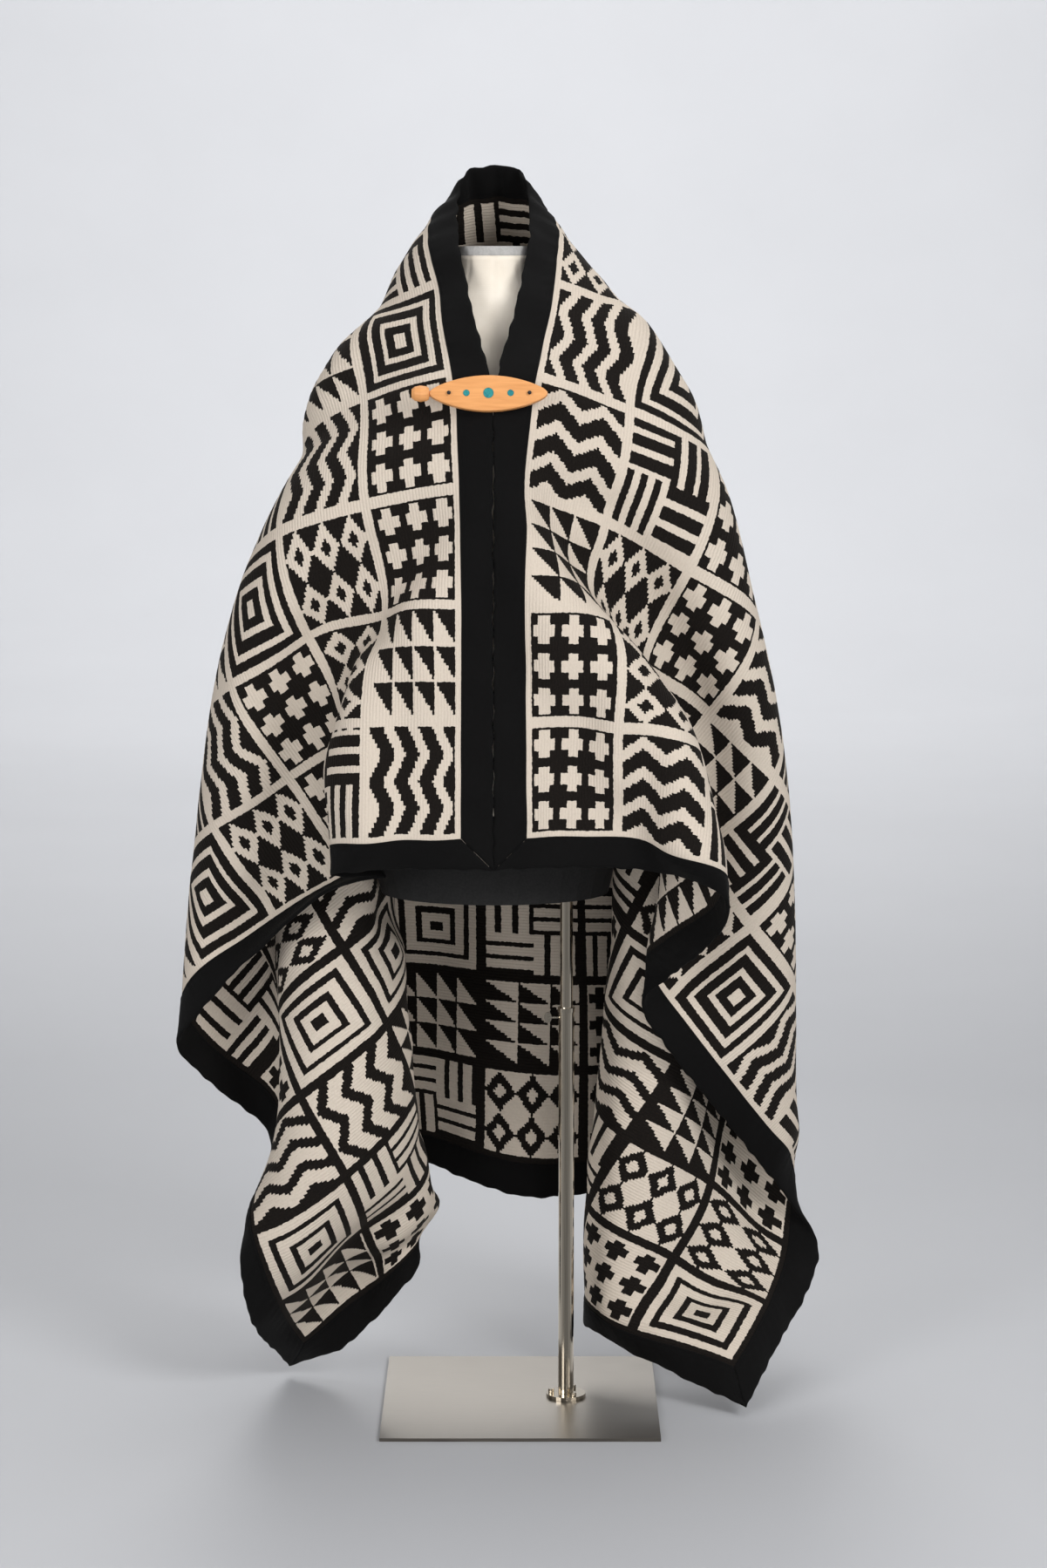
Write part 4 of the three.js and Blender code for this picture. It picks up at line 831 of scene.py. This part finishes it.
# %% Lights
LIGHTS = (              # name, place, size in metres, watts
    ("key", (2.8, -3.4, 3.2), 2.2, 145), ("fill", (-3.0, -3.4, 1.9), 2.2, 75),
    ("front", (0.4, -4.2, 0.9), 1.2, 30), ("top", (0.2, 0.6, 4.2), 2.4, 36),
    ("back", (-0.4, 4.4, 3.4), 2.4, 70), ("background", (0.0, 6.5, 6.0), 4.0, 600),
)
LIT_WALL, LIT_BLANKET = (0.0, 12.5, 1.5), (0.0, 0.0, 0.8)
for name, place, size, watts in LIGHTS:
    lamp = bpy.data.lights.new(name, "AREA")
    lamp.shape, lamp.size, lamp.energy = "DISK", size, watts
    light = bpy.data.objects.new(name, lamp)
    light.location = place
    aim = Vector(LIT_WALL if name == "background" else LIT_BLANKET) - Vector(place)
    light.rotation_euler = aim.to_track_quat("-Z", "Y").to_euler()
    bpy.context.scene.collection.objects.link(light)
print("lights", len(LIGHTS))

# %% Sky
world = bpy.data.worlds.new("studio")
world.use_nodes = True
world.node_tree.nodes.clear()
facing = add(world, "ShaderNodeTexCoord").outputs["Generated"]
depth = add(world, "ShaderNodeSeparateXYZ", {0: facing}).outputs[1]
room = add(world, "ShaderNodeMapRange", {"Value": depth, 1: -0.9, 2: 0.4, 3: 0.22, 4: 0.75}).outputs[0]
sky = add(world, "ShaderNodeBackground", {"Color": linear("#e9eaec"), "Strength": room})
add(world, "ShaderNodeOutputWorld", {"Surface": sky.outputs[0]})
bpy.context.scene.world = world
bpy.context.scene.view_settings.view_transform = "Standard"
print("nodes in the sky", len(world.node_tree.nodes))

# %% [markdown]
# ## Camera
# The photo was taken from about shoulder height with a long lens, tipped down a little. A camera aimed at
# the middle of the part would be simpler, but wouldn't show it as the photo does. The numbers were found
# by matching the solids to the picture.

# %% Camera at the photo's angle
TIPPED = 8              # degrees down from level
lens = bpy.data.cameras.new("camera")
lens.lens, lens.sensor_width, lens.sensor_fit = 85.2, 36.0, "AUTO"
camera = bpy.data.objects.new("camera", lens)
camera.location = 0.0043, -4.892, 1.534
camera.rotation_euler = math.radians(90 - TIPPED), 0, 0
bpy.context.scene.collection.objects.link(camera)
bpy.context.scene.camera = camera
print("camera at", tuple(camera.location))

# %% [markdown]
# ## The size of the dressed part
# The dressed part has to stay within the frame's box, give or take a few millimetres of relief.

# %% Write the sizes
low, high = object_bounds()
print("visual box", [round(v, 3) for v in low], [round(v, 3) for v in high])
